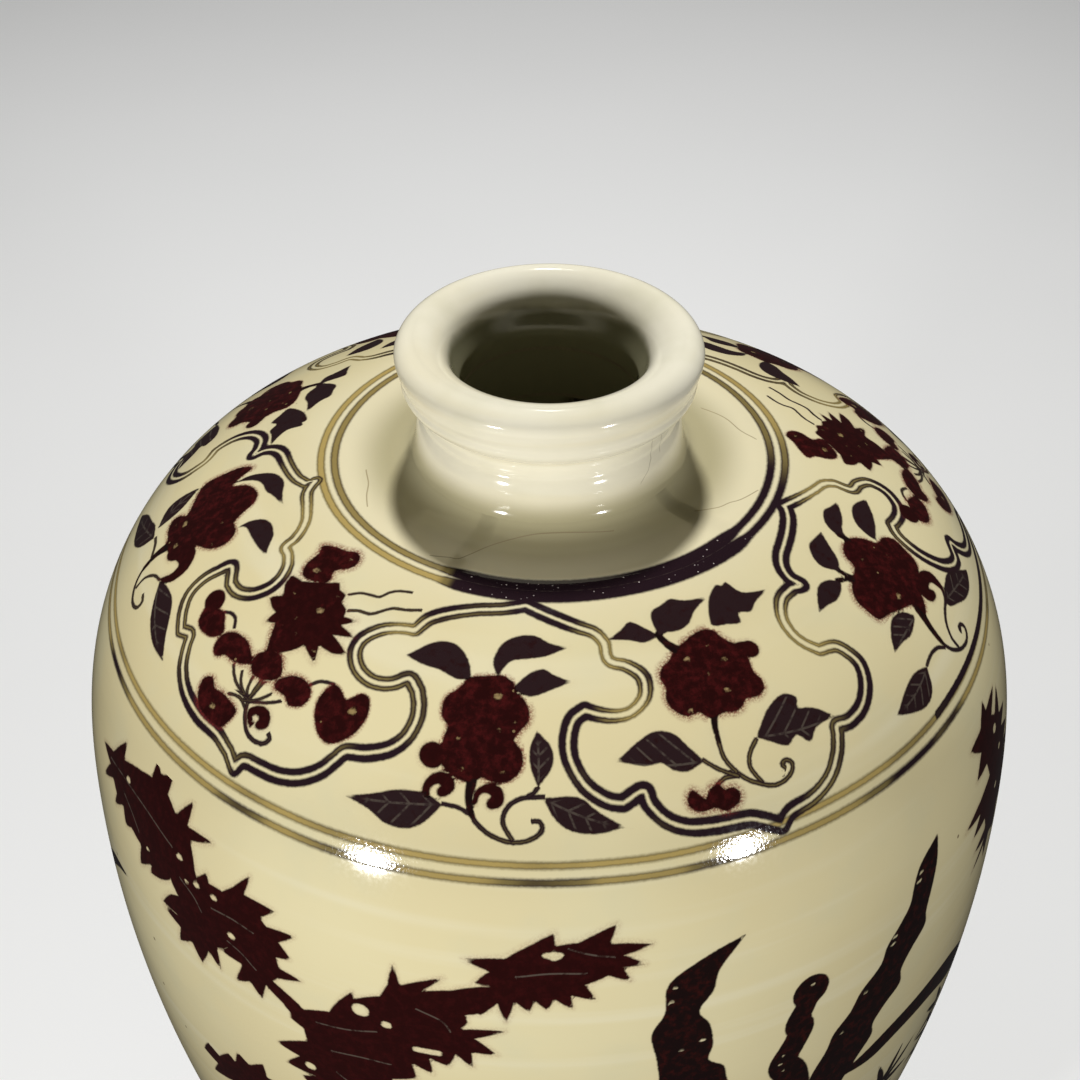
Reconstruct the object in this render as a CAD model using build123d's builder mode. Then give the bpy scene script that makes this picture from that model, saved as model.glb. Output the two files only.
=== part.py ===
import os

from build123d import *

os.makedirs("parts", exist_ok=True)

# A tall shouldered vase of glazed porcelain, thrown in six sections that are luted together
# with slip. Lengths are in millimetres. The origin is on the axis, on the surface that the
# foot ring stands on, and +Z is up.

# Overall form
body_radius = 130.0
foot_radius = 75.0
shoulder_height = 373.3
neck_height = 36.7

# Walls
wall_thickness = 7.5
floor_thickness = 10.0
floor_corner_radius = 16.0

# Trimmed foot ring and the recess inside it
foot_bevel = 2.5
foot_ring_width = 9.0
foot_recess_depth = 8.0
foot_recess_slope = 3.0
base_sag = 1.2

# Neck: the radius of its waist, and how far the rest stands out from the waist
neck_waist_radius = 32.7
neck_root_spread = 13.3
neck_flare_spread = 3.6
neck_bulge_spread = 1.5
neck_wall_thickness = 6.7
throat_bend_radius = 8.0
throat_bend_angle = 90
throat_funnel_depth = 13.5

# Heights on the neck: shares of its height above the shoulder
neck_joint_share = 0.084
neck_flare_share = 0.15
neck_bulge_share = 0.346
neck_waist_share = 0.488

# Rolled mouth rim, an upright oval in section
lip_overhang = 7.4
lip_half_width = 6.0
lip_half_depth = 7.6
lip_start_angle = -100
lip_sweep_angle = 270

# Slip in the joints between the thrown sections
slip_thickness = 1.0
slip_bead_radius = 1.6

# Places on the outline below the widest place: (share of the way out from the foot's radius to
# the body's, share of the shoulder's height). Above it the first share is the way out from the
# neck's root.
lower_shares = [(0, 0.045), (0.155, 0.173), (0.556, 0.376), (0.764, 0.485), (0.92, 0.6)]
upper_shares = [
    (1, 0.76),
    (0.97, 0.838),
    (0.869, 0.9),
    (0.682, 0.95),
    (0.429, 0.982),
    (0.17, 0.999),
]
outline_span_shares = [0, 0.2, 0.4, 0.55, 0.68, 0.76, 0.82, 0.88, 0.94, 1]

# Joint places: shares of the outline's length from foot to neck
foot_joint_share = 0.21
belly_joint_share = 0.42
shoulder_joint_share = 0.778

# Outline of the body, from the foot to the neck's root: pairs of arcs that run smoothly into
# one another along a guide curve
neck_root_radius = neck_waist_radius + neck_root_spread
guide_points = [
    (foot_radius, foot_bevel),
    *[(foot_radius + (body_radius - foot_radius) * r, shoulder_height * h) for r, h in lower_shares],
    *[
        (neck_root_radius + (body_radius - neck_root_radius) * r, shoulder_height * h)
        for r, h in upper_shares
    ],
    (neck_root_radius, shoulder_height),
]
guide = Spline(*guide_points, tangents=[(0, 1), (-1, 0)])

with BuildLine() as outline:
    for start_share, end_share in zip(outline_span_shares, outline_span_shares[1:]):
        chord = guide @ end_share - guide @ start_share
        start_way = guide % start_share
        end_way = guide % end_share
        lean = chord.dot(start_way + end_way)
        bend = 2 * (1 - start_way.dot(end_way))
        reach = chord.dot(chord) / (lean + (lean**2 + bend * chord.dot(chord)) ** 0.5)
        meeting = (
            guide @ start_share + start_way * reach + guide @ end_share - end_way * reach
        ) / 2
        arc = TangentArc(guide @ start_share, meeting, tangent=start_way)
        TangentArc(meeting, guide @ end_share, tangent=arc % 1)

outline_wire = outline.wire()
inner_wire = offset(
    outline_wire, amount=wall_thickness, side=Side.LEFT, closed=False, mode=Mode.PRIVATE
).wire()

# Half section of the whole wall, later divided at the joints
rim_height = shoulder_height + neck_height
neck_joint_height = shoulder_height + neck_height * neck_joint_share
neck_waist_height = shoulder_height + neck_height * neck_waist_share
flare_end = (
    neck_waist_radius + neck_flare_spread,
    shoulder_height + neck_height * neck_flare_share,
)
bulge_end = (
    neck_waist_radius + neck_bulge_spread,
    shoulder_height + neck_height * neck_bulge_share,
)
lip_centre = (
    neck_waist_radius + lip_overhang - lip_half_width,
    rim_height - lip_half_depth,
)
throat_radius = neck_waist_radius - neck_wall_thickness
throat_land_top = rim_height - throat_funnel_depth
throat_land_base = (inner_wire @ 0).Y + throat_bend_radius
floor_height = foot_recess_depth + floor_thickness
ring_inner_radius = foot_radius - foot_bevel - foot_ring_width

with BuildSketch() as wall:
    with BuildLine():
        add(outline_wire)
        neck_flare = TangentArc(outline_wire @ 1, flare_end, tangent=outline_wire % 1)
        neck_bulge = TangentArc(flare_end, bulge_end, tangent=neck_flare % 1)
        neck_waist = TangentArc(
            bulge_end, (neck_waist_radius, neck_waist_height), tangent=neck_bulge % 1
        )
        lip_oval = EllipticalCenterArc(
            lip_centre,
            lip_half_width,
            lip_half_depth,
            start_angle=lip_start_angle,
            arc_size=lip_sweep_angle,
        )
        TangentArc(neck_waist @ 1, lip_oval @ 0, tangent=neck_waist % 1)
        Bezier(
            lip_oval @ 1,
            lip_oval @ 1 + (lip_oval % 1) * lip_half_width / 2,
            (throat_radius, throat_land_top + lip_half_width / 2),
            (throat_radius, throat_land_top),
        )
        throat = Line((throat_radius, throat_land_top), (throat_radius, throat_land_base))
        throat_bend = JernArc(throat @ 1, throat % 1, throat_bend_radius, throat_bend_angle)
        Line(throat_bend @ 1, inner_wire @ 0)
        add(inner_wire)
        Line(inner_wire @ 1, outline_wire @ 0)
    make_face()
    with BuildLine():
        Polyline(
            (0, foot_recess_depth - base_sag),
            (ring_inner_radius - foot_recess_slope, foot_recess_depth),
            (ring_inner_radius, 0),
            (foot_radius - foot_bevel, 0),
            (foot_radius, foot_bevel),
            (foot_radius - wall_thickness / 2, floor_height),
            (0, floor_height),
            close=True,
        )
    make_face()
    inner_corner = wall.vertices().sort_by_distance((foot_radius - wall_thickness, floor_height))
    fillet(inner_corner[0], floor_corner_radius)


def joint_across(share):
    """Joint plane square to the wall, at a share of the outline's length."""
    return Plane(origin=outline_wire @ share, z_dir=outline_wire % share)


def joint_at(height):
    """Level joint plane at a height."""
    return Plane(origin=(0, height, 0), z_dir=(0, 1, 0))


def joint_inward(joint):
    """Direction from the outline into the wall along a joint."""
    return Vector(-joint.z_dir.Y, joint.z_dir.X)


foot_joint = joint_across(foot_joint_share)
belly_joint = joint_across(belly_joint_share)
shoulder_joint = joint_across(shoulder_joint_share)
neck_joint = joint_at(neck_joint_height)
lip_joint = joint_at(neck_waist_height)

slip_above = slip_thickness / 2
slip_below = -slip_thickness / 2

# Foot section: floor, trimmed foot ring and the lowest of the wall
with BuildPart() as foot_section:
    with BuildSketch(Plane.XZ):
        add(wall.sketch)
        split(bisect_by=foot_joint.offset(slip_below), keep=Keep.BOTTOM)
    revolve(axis=Axis.Z)
foot_section.part.label = "foot_section"

# Lower body: the long taper from the foot section up to the belly
with BuildPart() as lower_body:
    with BuildSketch(Plane.XZ):
        add(wall.sketch)
        split(bisect_by=foot_joint.offset(slip_above), keep=Keep.TOP)
        split(bisect_by=belly_joint.offset(slip_below), keep=Keep.BOTTOM)
    revolve(axis=Axis.Z)
lower_body.part.label = "lower_body"

# Upper body: the swelling belly, widest near its top
with BuildPart() as upper_body:
    with BuildSketch(Plane.XZ):
        add(wall.sketch)
        split(bisect_by=belly_joint.offset(slip_above), keep=Keep.TOP)
        split(bisect_by=shoulder_joint.offset(slip_below), keep=Keep.BOTTOM)
    revolve(axis=Axis.Z)
upper_body.part.label = "upper_body"

# Shoulder: the dome that closes in to a rim under the neck
with BuildPart() as shoulder:
    with BuildSketch(Plane.XZ):
        add(wall.sketch)
        split(bisect_by=shoulder_joint.offset(slip_above), keep=Keep.TOP)
        split(bisect_by=neck_joint.offset(slip_below), keep=Keep.BOTTOM)
    revolve(axis=Axis.Z)
shoulder.part.label = "shoulder"

# Neck: a short collar with a soft bulge outside and a straight throat inside
with BuildPart() as neck:
    with BuildSketch(Plane.XZ):
        add(wall.sketch)
        split(bisect_by=neck_joint.offset(slip_above), keep=Keep.TOP)
        split(bisect_by=lip_joint.offset(slip_below), keep=Keep.BOTTOM)
    revolve(axis=Axis.Z)
neck.part.label = "neck"

# Mouth rim: the rolled lip, oval in section, funnelling into the throat
with BuildPart() as mouth_rim:
    with BuildSketch(Plane.XZ):
        add(wall.sketch)
        split(bisect_by=lip_joint.offset(slip_above), keep=Keep.TOP)
    revolve(axis=Axis.Z)
mouth_rim.part.label = "mouth_rim"

sections = [foot_section, lower_body, upper_body, shoulder, neck, mouth_rim]

# Slip seams: the slip that fills each joint right through the wall. In the body it also
# squeezes out as a bead inside, where no hand can wipe it; in the throat it is wiped flush.
wall_joints = {
    "foot_seam": foot_joint,
    "belly_seam": belly_joint,
    "shoulder_seam": shoulder_joint,
}
throat_joints = {"neck_seam": neck_joint, "lip_seam": lip_joint}
seams = []

for seam_name, joint in wall_joints.items():
    with BuildPart() as seam:
        with BuildSketch(Plane.XZ):
            add(wall.sketch)
            split(bisect_by=joint.offset(slip_above), keep=Keep.BOTTOM)
            split(bisect_by=joint.offset(slip_below), keep=Keep.TOP)
            with BuildSketch(mode=Mode.PRIVATE) as bead:
                with Locations(joint.origin + joint_inward(joint) * wall_thickness):
                    Circle(slip_bead_radius)
                add(wall.sketch, mode=Mode.SUBTRACT)
            add(bead.sketch)
        revolve(axis=Axis.Z)
    seam.part.label = seam_name
    seams.append(seam)

for seam_name, joint in throat_joints.items():
    with BuildPart() as seam:
        with BuildSketch(Plane.XZ):
            add(wall.sketch)
            split(bisect_by=joint.offset(slip_above), keep=Keep.BOTTOM)
            split(bisect_by=joint.offset(slip_below), keep=Keep.TOP)
        revolve(axis=Axis.Z)
    seam.part.label = seam_name
    seams.append(seam)

print("throat from", throat_land_base, "to", throat_land_top)
for piece in sections + seams:
    export_step(piece.part, f"parts/{piece.part.label}.step")
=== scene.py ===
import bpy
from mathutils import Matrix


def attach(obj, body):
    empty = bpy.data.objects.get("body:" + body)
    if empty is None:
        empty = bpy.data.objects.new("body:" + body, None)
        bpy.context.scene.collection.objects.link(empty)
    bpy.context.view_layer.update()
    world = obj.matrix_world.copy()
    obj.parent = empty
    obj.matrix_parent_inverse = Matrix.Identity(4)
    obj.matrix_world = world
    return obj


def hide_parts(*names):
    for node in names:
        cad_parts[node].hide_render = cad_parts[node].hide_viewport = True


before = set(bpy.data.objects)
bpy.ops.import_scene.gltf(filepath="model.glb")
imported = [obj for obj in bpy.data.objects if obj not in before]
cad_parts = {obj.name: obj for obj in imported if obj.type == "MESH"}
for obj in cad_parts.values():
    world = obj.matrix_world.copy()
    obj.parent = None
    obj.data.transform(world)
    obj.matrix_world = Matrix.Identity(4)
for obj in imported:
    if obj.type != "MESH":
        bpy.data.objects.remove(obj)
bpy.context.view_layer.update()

import math

import bpy
import numpy as np
from mathutils import Vector

# Driving dimensions of the vase, in millimetres
body_radius = 130.0
foot_radius = 75.0
shoulder_height = 373.3
neck_height = 36.7
wall_thickness = 7.5
floor_height = 18.0
floor_corner_radius = 16.0
foot_bevel = 2.5
ring_inner_radius = 63.5
recess_radius = 60.5
recess_depth = 8.0
base_sag = 1.2
neck_waist_radius = 32.7
neck_root_radius = neck_waist_radius + 13.3
throat_radius = 23.4
throat_bend_radius = 8.0
throat_land_top = shoulder_height + neck_height - 13.5
slip_thickness = 1.0
slip_bead_radius = 1.6
glaze_lap = 0.8
seam_sink = 0.05
seam_edge = 0.2

lower_shares = [(0, 0.045), (0.155, 0.173), (0.556, 0.376), (0.764, 0.485), (0.92, 0.6)]
upper_shares = [
    (1, 0.76), (0.97, 0.838), (0.869, 0.9), (0.682, 0.95), (0.429, 0.982), (0.17, 0.999),
]
floor_corner_share = 0.085
foot_joint_share = 0.21
belly_joint_share = 0.42
shoulder_joint_share = 0.778
neck_waist_share = 0.488
neck_joint_share = 0.084

millimetre = 0.001

# Points along the finely drawn outlines, and the step along a brush path in millimetres
outline_points = 9000
neck_points = 700
rim_points = 900
path_step = 1.2


# Outline of the body

def guide_points():
    """Places that the body's outline passes through, from the foot to the neck's root."""
    lower = [
        (foot_radius + (body_radius - foot_radius) * r, shoulder_height * h)
        for r, h in lower_shares
    ]
    upper = [
        (neck_root_radius + (body_radius - neck_root_radius) * r, shoulder_height * h)
        for r, h in upper_shares
    ]
    ends = (foot_radius, foot_bevel), (neck_root_radius, shoulder_height)
    return np.array([ends[0], *lower, *upper, ends[1]], float)


def smooth_curve(points, start_way, end_way, steps):
    """Smooth cubic curve through points, with its direction given at both ends."""
    lengths = np.hypot(*np.diff(points, axis=0).T)
    knots = np.r_[0, np.cumsum(lengths)]
    count = len(points)
    system = np.eye(count)
    ways = np.zeros((count, 2))
    ways[0], ways[-1] = start_way, end_way
    for i in range(1, count - 1):
        before, after = lengths[i - 1], lengths[i]
        system[i, i - 1 : i + 2] = after, 2 * (before + after), before
        ways[i] = 3 * (
            after * (points[i] - points[i - 1]) / before
            + before * (points[i + 1] - points[i]) / after
        )
    ways = np.linalg.solve(system, ways)
    at = np.linspace(0, knots[-1], steps)
    i = np.clip(np.searchsorted(knots, at, side="right") - 1, 0, count - 2)
    span = lengths[i][:, None]
    t = ((at - knots[i]) / lengths[i])[:, None]
    return (
        (2 * t**3 - 3 * t**2 + 1) * points[i]
        + (t**3 - 2 * t**2 + t) * span * ways[i]
        + (3 * t**2 - 2 * t**3) * points[i + 1]
        + (t**3 - t**2) * span * ways[i + 1]
    )


def lengths_along(points):
    """Distance along a chain of points, from its start."""
    return np.r_[0, np.cumsum(np.hypot(*np.diff(points, axis=0).T))]


def spots_at(points, at):
    """Points of a chain at distances along it."""
    along = lengths_along(points)
    return np.stack([np.interp(at, along, points[:, k]) for k in (0, 1)], -1)


def even(points, spacing):
    """The same chain with its points evenly spaced."""
    whole = lengths_along(points)[-1]
    return spots_at(points, np.linspace(0, whole, max(2, int(round(whole / spacing)) + 1)))


outline = smooth_curve(guide_points(), (0, 1), (-1, 0), outline_points)
outline_length = lengths_along(outline)[-1]


def outline_part(low, high, spacing):
    """Outline from one share of its length to another, evenly spaced."""
    count = max(2, int(round((high - low) * outline_length / spacing)) + 1)
    return spots_at(outline, np.linspace(low, high, count) * outline_length)


def inward(points):
    """Unit directions from a chain that climbs the outside into the wall."""
    way = np.gradient(points, axis=0)
    way /= np.hypot(*way.T)[:, None]
    return np.column_stack([-way[:, 1], way[:, 0]])


# Grid of a turned section: a fine outer skin, with coarse faces inside

coarse_steps = 96
seam_steps = 192
neck_steps = 384
body_steps = 624
front_share = 0.4
strips = 3

# Distances between the rows of a skin, in millimetres
body_rows = 1.1
dome_rows = 0.85
neck_rows = 0.5
rim_rows = 0.4
inner_rows = 5
dome_inner_rows = 4


def step_angle(step, steps):
    """Angle of a step of the turn, in degrees from the front; steps lie closer in front."""
    turn = np.asarray(step) * 2 * math.pi / steps - math.pi
    return np.degrees(turn - front_share * np.sin(turn))


turn_marks = np.linspace(-2, 2, 4001)
angle_marks = step_angle((turn_marks + 1) / 2, 1)


def step_at(angle, steps):
    """Step of the turn, as a fraction, at an angle."""
    return (np.interp(angle, angle_marks, turn_marks) + 1) / 2 * steps


class Ground:
    """The outer skin of a section as rows (slope from the neck's root) and columns (angle)."""

    def __init__(self, outer, slope):
        self.angle = step_angle(np.arange(body_steps), body_steps)
        self.slope = slope
        self.per_degree = np.radians(1) * outer[:, 0]
        shape = len(outer), body_steps
        self.collar, self.wash, self.spark = (np.full(shape, far) for _ in range(3))
        self.tone = np.zeros(shape)
        self.heavy = np.ones(shape)
        self.vein = np.zeros((*shape, 3))
        self.strokes = 0
        self.line_rank, self.line_side, self.line_out = (
            np.full((*shape, 3), far) for _ in range(3)
        )
        self.line_tone = np.zeros((*shape, 3))
        self.line_half = np.full((*shape, 3), 0.6)

    def measure(self, start, end, pad):
        """Distance to a stretch, share along it, side and overrun, for the grid points near it;
        None if it lies off this skin."""
        low, high = sorted((start[1], end[1]))
        rows = np.where((self.slope >= low - pad) & (self.slope <= high + pad))[0]
        if len(rows) == 0:
            return None
        reach = pad / self.per_degree[rows].min()
        first = int(math.floor(step_at(min(start[0], end[0]) - reach, body_steps)))
        last = int(math.ceil(step_at(max(start[0], end[0]) + reach, body_steps)))
        columns = np.arange(first, min(last, first + body_steps - 1) + 1)
        angle = step_angle(columns, body_steps)[None, :]
        scale = self.per_degree[rows][:, None]
        slope = self.slope[rows][:, None]
        ax, ay = (start[0] - angle) * scale, start[1] - slope
        bx, by = (end[0] - angle) * scale, end[1] - slope
        dx, dy = bx - ax, by - ay
        length = np.hypot(dx, dy) + 1e-9
        raw = -(ax * dx + ay * dy) / length
        share = np.clip(raw / length, 0, 1)
        px, py = ax + share * dx, ay + share * dy
        distance = np.hypot(px, py)
        side = np.sign(dx * py - dy * px)
        overrun = np.maximum(-raw, raw - length)
        return np.ix_(rows, columns % body_steps), distance, share, side, overrun


far = 5.0
stroke_fields = "line_side", "line_out", "line_tone", "line_half"

# Tones by which the glaze tells one kind of wash or thin stroke from another
bloom_tone = 0.0
bough_tone = 0.4
blade_tone = 0.6
dark_tone = 0.7
stem_tone = 0.8
leaf_tone = 1.0
scratched = -1
hair_crack = 2


# Brushwork. Places are (degrees round from the front, millimetres down the slope)

def rounded(points, step=path_step):
    """Smooth path through given places."""
    points = np.array(points, float)
    if len(points) < 3:
        return points[0] + np.linspace(0, 1, 6)[:, None] * (points[-1] - points[0])
    padded = np.vstack([2 * points[0] - points[1], points, 2 * points[-1] - points[-2]])
    return np.vstack([bent(padded, step), points[-1:]])


def looped(points):
    """Smooth closed path through given places."""
    points = np.array(points, float)
    path = bent(np.vstack([points[-1:], points, points[:2]]), path_step)
    return np.vstack([path, path[:1]])


def bent(padded, step):
    """Smooth curve between the inner places of a chain."""
    pieces = []
    for i in range(1, len(padded) - 2):
        before, a, b, after = padded[i - 1 : i + 3]
        count = max(2, int(np.hypot(*(b - a)) / step) + 1)
        t = np.linspace(0, 1, count, endpoint=False)[:, None]
        pieces.append(0.5 * (
            2 * a + (b - before) * t + (2 * before - 5 * a + 4 * b - after) * t**2
            + (3 * a - before - 3 * b + after) * t**3
        ))
    return np.vstack(pieces)


slopes_down = outline_length - lengths_along(outline)
slope_marks = slopes_down[::-1]
degree_marks = np.radians(1) * outline[::-1, 0]


def degree_at(slope):
    """Millimetres in one degree of the way round, at a slope."""
    return np.interp(slope, slope_marks, degree_marks)


def place(start, angle, reach):
    """Place at a distance in millimetres from another, in a direction of the drawing."""
    way = math.radians(angle)
    return (
        start[0] + reach * math.cos(way) / degree_at(start[1]),
        start[1] + reach * math.sin(way),
    )


def closed(ground, path):
    """Signed distance to a closed path, negative inside it."""
    near = np.full(ground.wash.shape, far)
    inside = np.zeros(ground.wash.shape, bool)
    for start, end in zip(path[:-1], path[1:]):
        got = ground.measure(start, end, far)
        if got is not None:
            near[got[0]] = np.minimum(near[got[0]], got[1])
        low, high = sorted((start[0], end[0]))
        first = math.ceil(step_at(low, body_steps))
        last = math.ceil(step_at(high, body_steps))
        for column in range(first, last):
            angle = step_angle(column, body_steps)
            crossing = start[1] + (end[1] - start[1]) * (angle - start[0]) / (end[0] - start[0])
            inside[ground.slope < crossing, column % body_steps] ^= True
    return np.where(inside, -near, near)


def lay(ground, depth, tone):
    """Adds a filled shape to the wash, by its signed distance."""
    closer = depth < ground.wash
    ground.tone[closer] = tone
    ground.wash[closer] = depth[closer]


def bloom(ground, places):
    """Solid bloom with a soft scalloped outline."""
    lay(ground, closed(ground, looped(places)), bloom_tone)


def spiky(ground, places):
    """Solid bough with pointed leaves; every edge between two places is bowed outward."""
    scale = np.array([degree_at(places[0][1]), 1])
    path = np.array([*places, places[0]], float) * scale
    turn = np.sign(np.sum(path[:-1, 0] * path[1:, 1] - path[1:, 0] * path[:-1, 1]))
    bowed = []
    for start, end in zip(path[:-1], path[1:]):
        way = end - start
        out = np.array([way[1], -way[0]]) * turn
        for t in (0, 0.25, 0.5, 0.75):
            bowed.append(start + way * t + out * 0.1 * t * (1 - t))
    path = np.array([*bowed, bowed[0]]) / scale
    lay(ground, closed(ground, path), bough_tone)


def dark(ground, places):
    """Solid dark shape with a soft outline."""
    lay(ground, closed(ground, looped(places)), dark_tone)


def leaf(ground, places, tip):
    """Leaf from its base round to its tip, which is given by its number, and back."""
    places = [np.array(spot, float) for spot in places]
    base, end = places[0], places[tip] + (places[tip] - places[0]) * 0.06
    path = np.vstack([rounded([*places[:tip], end]), rounded([end, *places[tip + 1 :], base])[1:]])
    depth = closed(ground, path)
    near = (depth < 1.2) & (depth <= ground.wash)
    lay(ground, depth, leaf_tone)
    if base[1] > 55:
        vein(ground, near, base, end)


def vein(ground, near, base, end):
    """Keeps how far along and across a low leaf each place near it lies, for its veins."""
    rows, columns = np.where(near)
    turn = (ground.angle[columns] - base[0] + 180) % 360 - 180
    x, y = turn * ground.per_degree[rows], ground.slope[rows] - base[1]
    way = np.array([(end[0] - base[0]) * degree_at((base[1] + end[1]) / 2), end[1] - base[1]])
    length = np.hypot(*way)
    along = (x * way[0] + y * way[1]) / length**2
    across = (y * way[0] - x * way[1]) / length**2
    bow = 0.05 * math.sin(7 * base[0])
    ground.vein[rows, columns, 0] = along
    ground.vein[rows, columns, 1] = across - 4 * along * (1 - along) * bow
    ground.vein[rows, columns, 2] = length


def brush(ground, path, halves, tone):
    """Filled stroke along a path, with a half width at each of its places."""
    for i in range(len(path) - 1):
        got = ground.measure(path[i], path[i + 1], max(halves[i], halves[i + 1]) + far)
        if got is None:
            continue
        at, distance, share, _, _ = got
        depth = distance - halves[i] - share * (halves[i + 1] - halves[i])
        closer = depth < ground.wash[at]
        ground.tone[at] = np.where(closer, tone, ground.tone[at])
        ground.wash[at] = np.where(closer, depth, ground.wash[at])


def line(ground, points, half=0.65, tone=0.75):
    """Thin brush line through places: more or less dark, scratched out, or a hair crack."""
    path = rounded(points)
    count = len(path) - 1
    layer = ground.strokes % 3
    ground.strokes += 1
    for i in range(count):
        got = ground.measure(path[i], path[i + 1], 3 * half + 2)
        if got is None:
            continue
        at, distance, share, side, overrun = got
        past = np.full(distance.shape, -far)
        if i == 0:
            past = np.where(share <= 0, overrun, past)
        if i == count - 1:
            past = np.where(share >= 1, overrun, past)
        rank = (distance + 2 * np.maximum(past, 0)) / max(half, 0.5)
        nearer = rank < ground.line_rank[:, :, layer][at]
        for field, value in (
            (ground.line_rank, rank),
            (ground.line_out, np.maximum(past, distance - 1.05)),
            (ground.line_tone, tone),
            (ground.line_half, half),
            (ground.line_side, np.where(side < 0, -1, 1) * distance),
        ):
            kept = field[:, :, layer]
            kept[at] = np.where(nearer, value, kept[at])


def dart(ground, base, tip, half, tone):
    """Narrow pointed leaf."""
    share = np.linspace(0, 1, 9)
    path = np.column_stack([base[k] + (tip[k] - base[k]) * share for k in (0, 1)])
    brush(ground, path, half * 1.9 * share**0.6 * (1 - share) ** 1.1 + 0.15, tone)


def bud(ground, places, half, tone=bough_tone):
    """Round dab of the brush."""
    angle, slope = places[0]
    brush(ground, [(angle, slope), (angle + 0.2, slope + 0.2)], [half, half], tone)


def curl(ground, places, halves, tone=bough_tone):
    """Stroke that swells into a curled bud."""
    path = rounded(places)
    marks = np.linspace(0, 1, len(halves))
    brush(ground, path, np.interp(np.linspace(0, 1, len(path)), marks, halves), tone)


def sparks(ground, places, halves):
    """Small pale flecks inside a bloom."""
    for (angle, slope), half in zip(places, halves):
        got = ground.measure((angle, slope), (angle + 0.3, slope), half + far)
        if got is not None:
            ground.spark[got[0]] = np.minimum(ground.spark[got[0]], got[1] - 0.75 * half)


def gaps(ground, places, halves, wides=None):
    """Small openings left unpainted in a wash, each with its half height and its width."""
    for (angle, slope), half, wide in zip(places, halves, wides or [0.3] * len(places)):
        got = ground.measure((angle, slope), (angle + wide, slope), half + far)
        if got is not None:
            ground.wash[got[0]] = np.maximum(ground.wash[got[0]], half - got[1])


def tall_leaf(ground, places, count):
    """Dark blade, down one side from its tip by a count of places, and up the other."""
    first, second = places[:count], [*places[count:], places[0]]
    lay(ground, closed(ground, np.vstack([rounded(first), rounded(second)])), blade_tone)


def draw_motif(ground, motif, turn):
    """Draws the strokes of a motif, turned round the vase."""
    for stroke, places, *how in motif:
        stroke(ground, [(angle + turn, slope) for angle, slope in places], *how)


# The lobed collar on the shoulder, drawn from one upper point to the next

collar_right = [
    (-5, 18.8), (0, 21.9), (5, 25.1), (8.5, 27.5), (10, 30.5), None,
    (10.2, 35.4), (13, 37.5), (15, 41), (14.5, 46), (12, 49.3), (9.5, 49.8), (7, 48.9),
    (5.3, 47.8), None, (3.5, 50), (2.6, 54.6), (2.8, 59.8), (4.5, 65.8), (7, 69.6), (9, 70.7),
    None, (11.7, 68.4), (12.3, 71.8), (14, 76), (16.5, 78.6), (20, 79.7), (24, 80.4),
    (26, 82.3), None, (28, 84.8), None, (29.5, 82.3), (33, 81.2), (36, 78.6), (38.2, 74.4),
    (39.5, 70.3), None, (40, 68.4), (42, 69.2), (45, 68), (47.5, 64.3), (48.8, 59.8),
    (48.5, 56), (47.3, 52.3), (44.5, 50.8), None, (43, 47), (42.5, 43.3), (43, 39.5),
    (44.5, 36.5), (46.5, 34.7), (49.5, 34.3), None, (51.6, 35.3), (51, 32), (52, 28.5),
    (54.5, 26), (58, 24.5), (62, 23), (66, 21.3), (69, 19.3),
]
collar_left = [
    (-78.5, 16.5), (-75, 19.3), (-70, 20.8), (-66, 22.5), (-63.5, 25), (-62, 28), None,
    (-61.5, 31), (-59.5, 31.5), (-57, 33.5), (-55.5, 37), (-55.5, 41), (-57, 45),
    (-59.5, 47.3), (-62, 47.5), None, (-65.4, 45), (-66.5, 49), (-67, 53), (-66.5, 58),
    (-64.5, 62), (-62, 65), None, (-60, 63.5), (-59, 66), (-57, 70.5), (-54, 74), (-50, 76),
    (-46, 76.5), (-43, 78.5), None, (-41.2, 81.3), None, (-40.3, 78.2), (-38, 77.7),
    (-35, 77.3), (-32, 75.5), (-29.5, 72), (-28, 68), None, (-27, 65.5), (-24.5, 64.5),
    (-21.5, 62), (-19.7, 58.5), (-19, 54), (-19.3, 50), (-20.3, 46.5), None, (-22.3, 44),
    (-24.5, 46.5), (-27.5, 47.5), (-30.5, 46), (-32.7, 42.5), (-33, 38.5), (-31, 34.5),
    (-28, 32.3), (-25, 31.5), None, (-23.5, 27.5), (-20, 24.3), (-15, 21.8), (-10, 20.5),
    (-5, 18.8),
]
collar_starts = [-78.5, -5, 69, 140.5, 211]

# Places where the collar's pigment ran thin and fired ochre, with how far it reaches
thin_places = [
    ((43.5, 44), 11), ((10, 33), 10), ((12, 48), 8), ((-27, 33), 6), ((-66, 22), 12),
    ((-60, 31), 7), ((80, 26), 10), ((117, 46), 12), ((155, 40), 14), ((190, 60), 12),
    ((228, 34), 12), ((262, 50), 10),
]


def collar_path():
    """Closed centre line of the collar's double stroke, five lobes round the shoulder."""
    path = []
    for i, start in enumerate(collar_starts):
        places = collar_left if i == 0 else collar_right
        end = collar_starts[i + 1] if i < 4 else collar_starts[0] + 360
        first, last = places[0][0], places[-1][0]
        run = []
        for spot in [*places, None]:
            if spot is not None:
                turn = start + (spot[0] - first) * (end - start) / (last - first)
                run.append((turn, spot[1]))
            elif run:
                corner = run[-1]
                path.extend(rounded(run, 0.8) if len(run) > 1 else run)
                run = [corner]
    return np.array(path)


def draw_collar(ground):
    """Signed distance to the collar, and how heavy its pigment lies."""
    ground.collar = closed(ground, collar_path())
    thin = np.zeros(ground.collar.shape)
    for (angle, slope), reach in thin_places:
        turn = (ground.angle[None, :] - angle + 180) % 360 - 180
        away = np.hypot(turn * degree_at(slope), ground.slope[:, None] - slope)
        thin = np.maximum(thin, np.exp(-((away / reach) ** 2)))
    ground.heavy = 1 - thin


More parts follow.
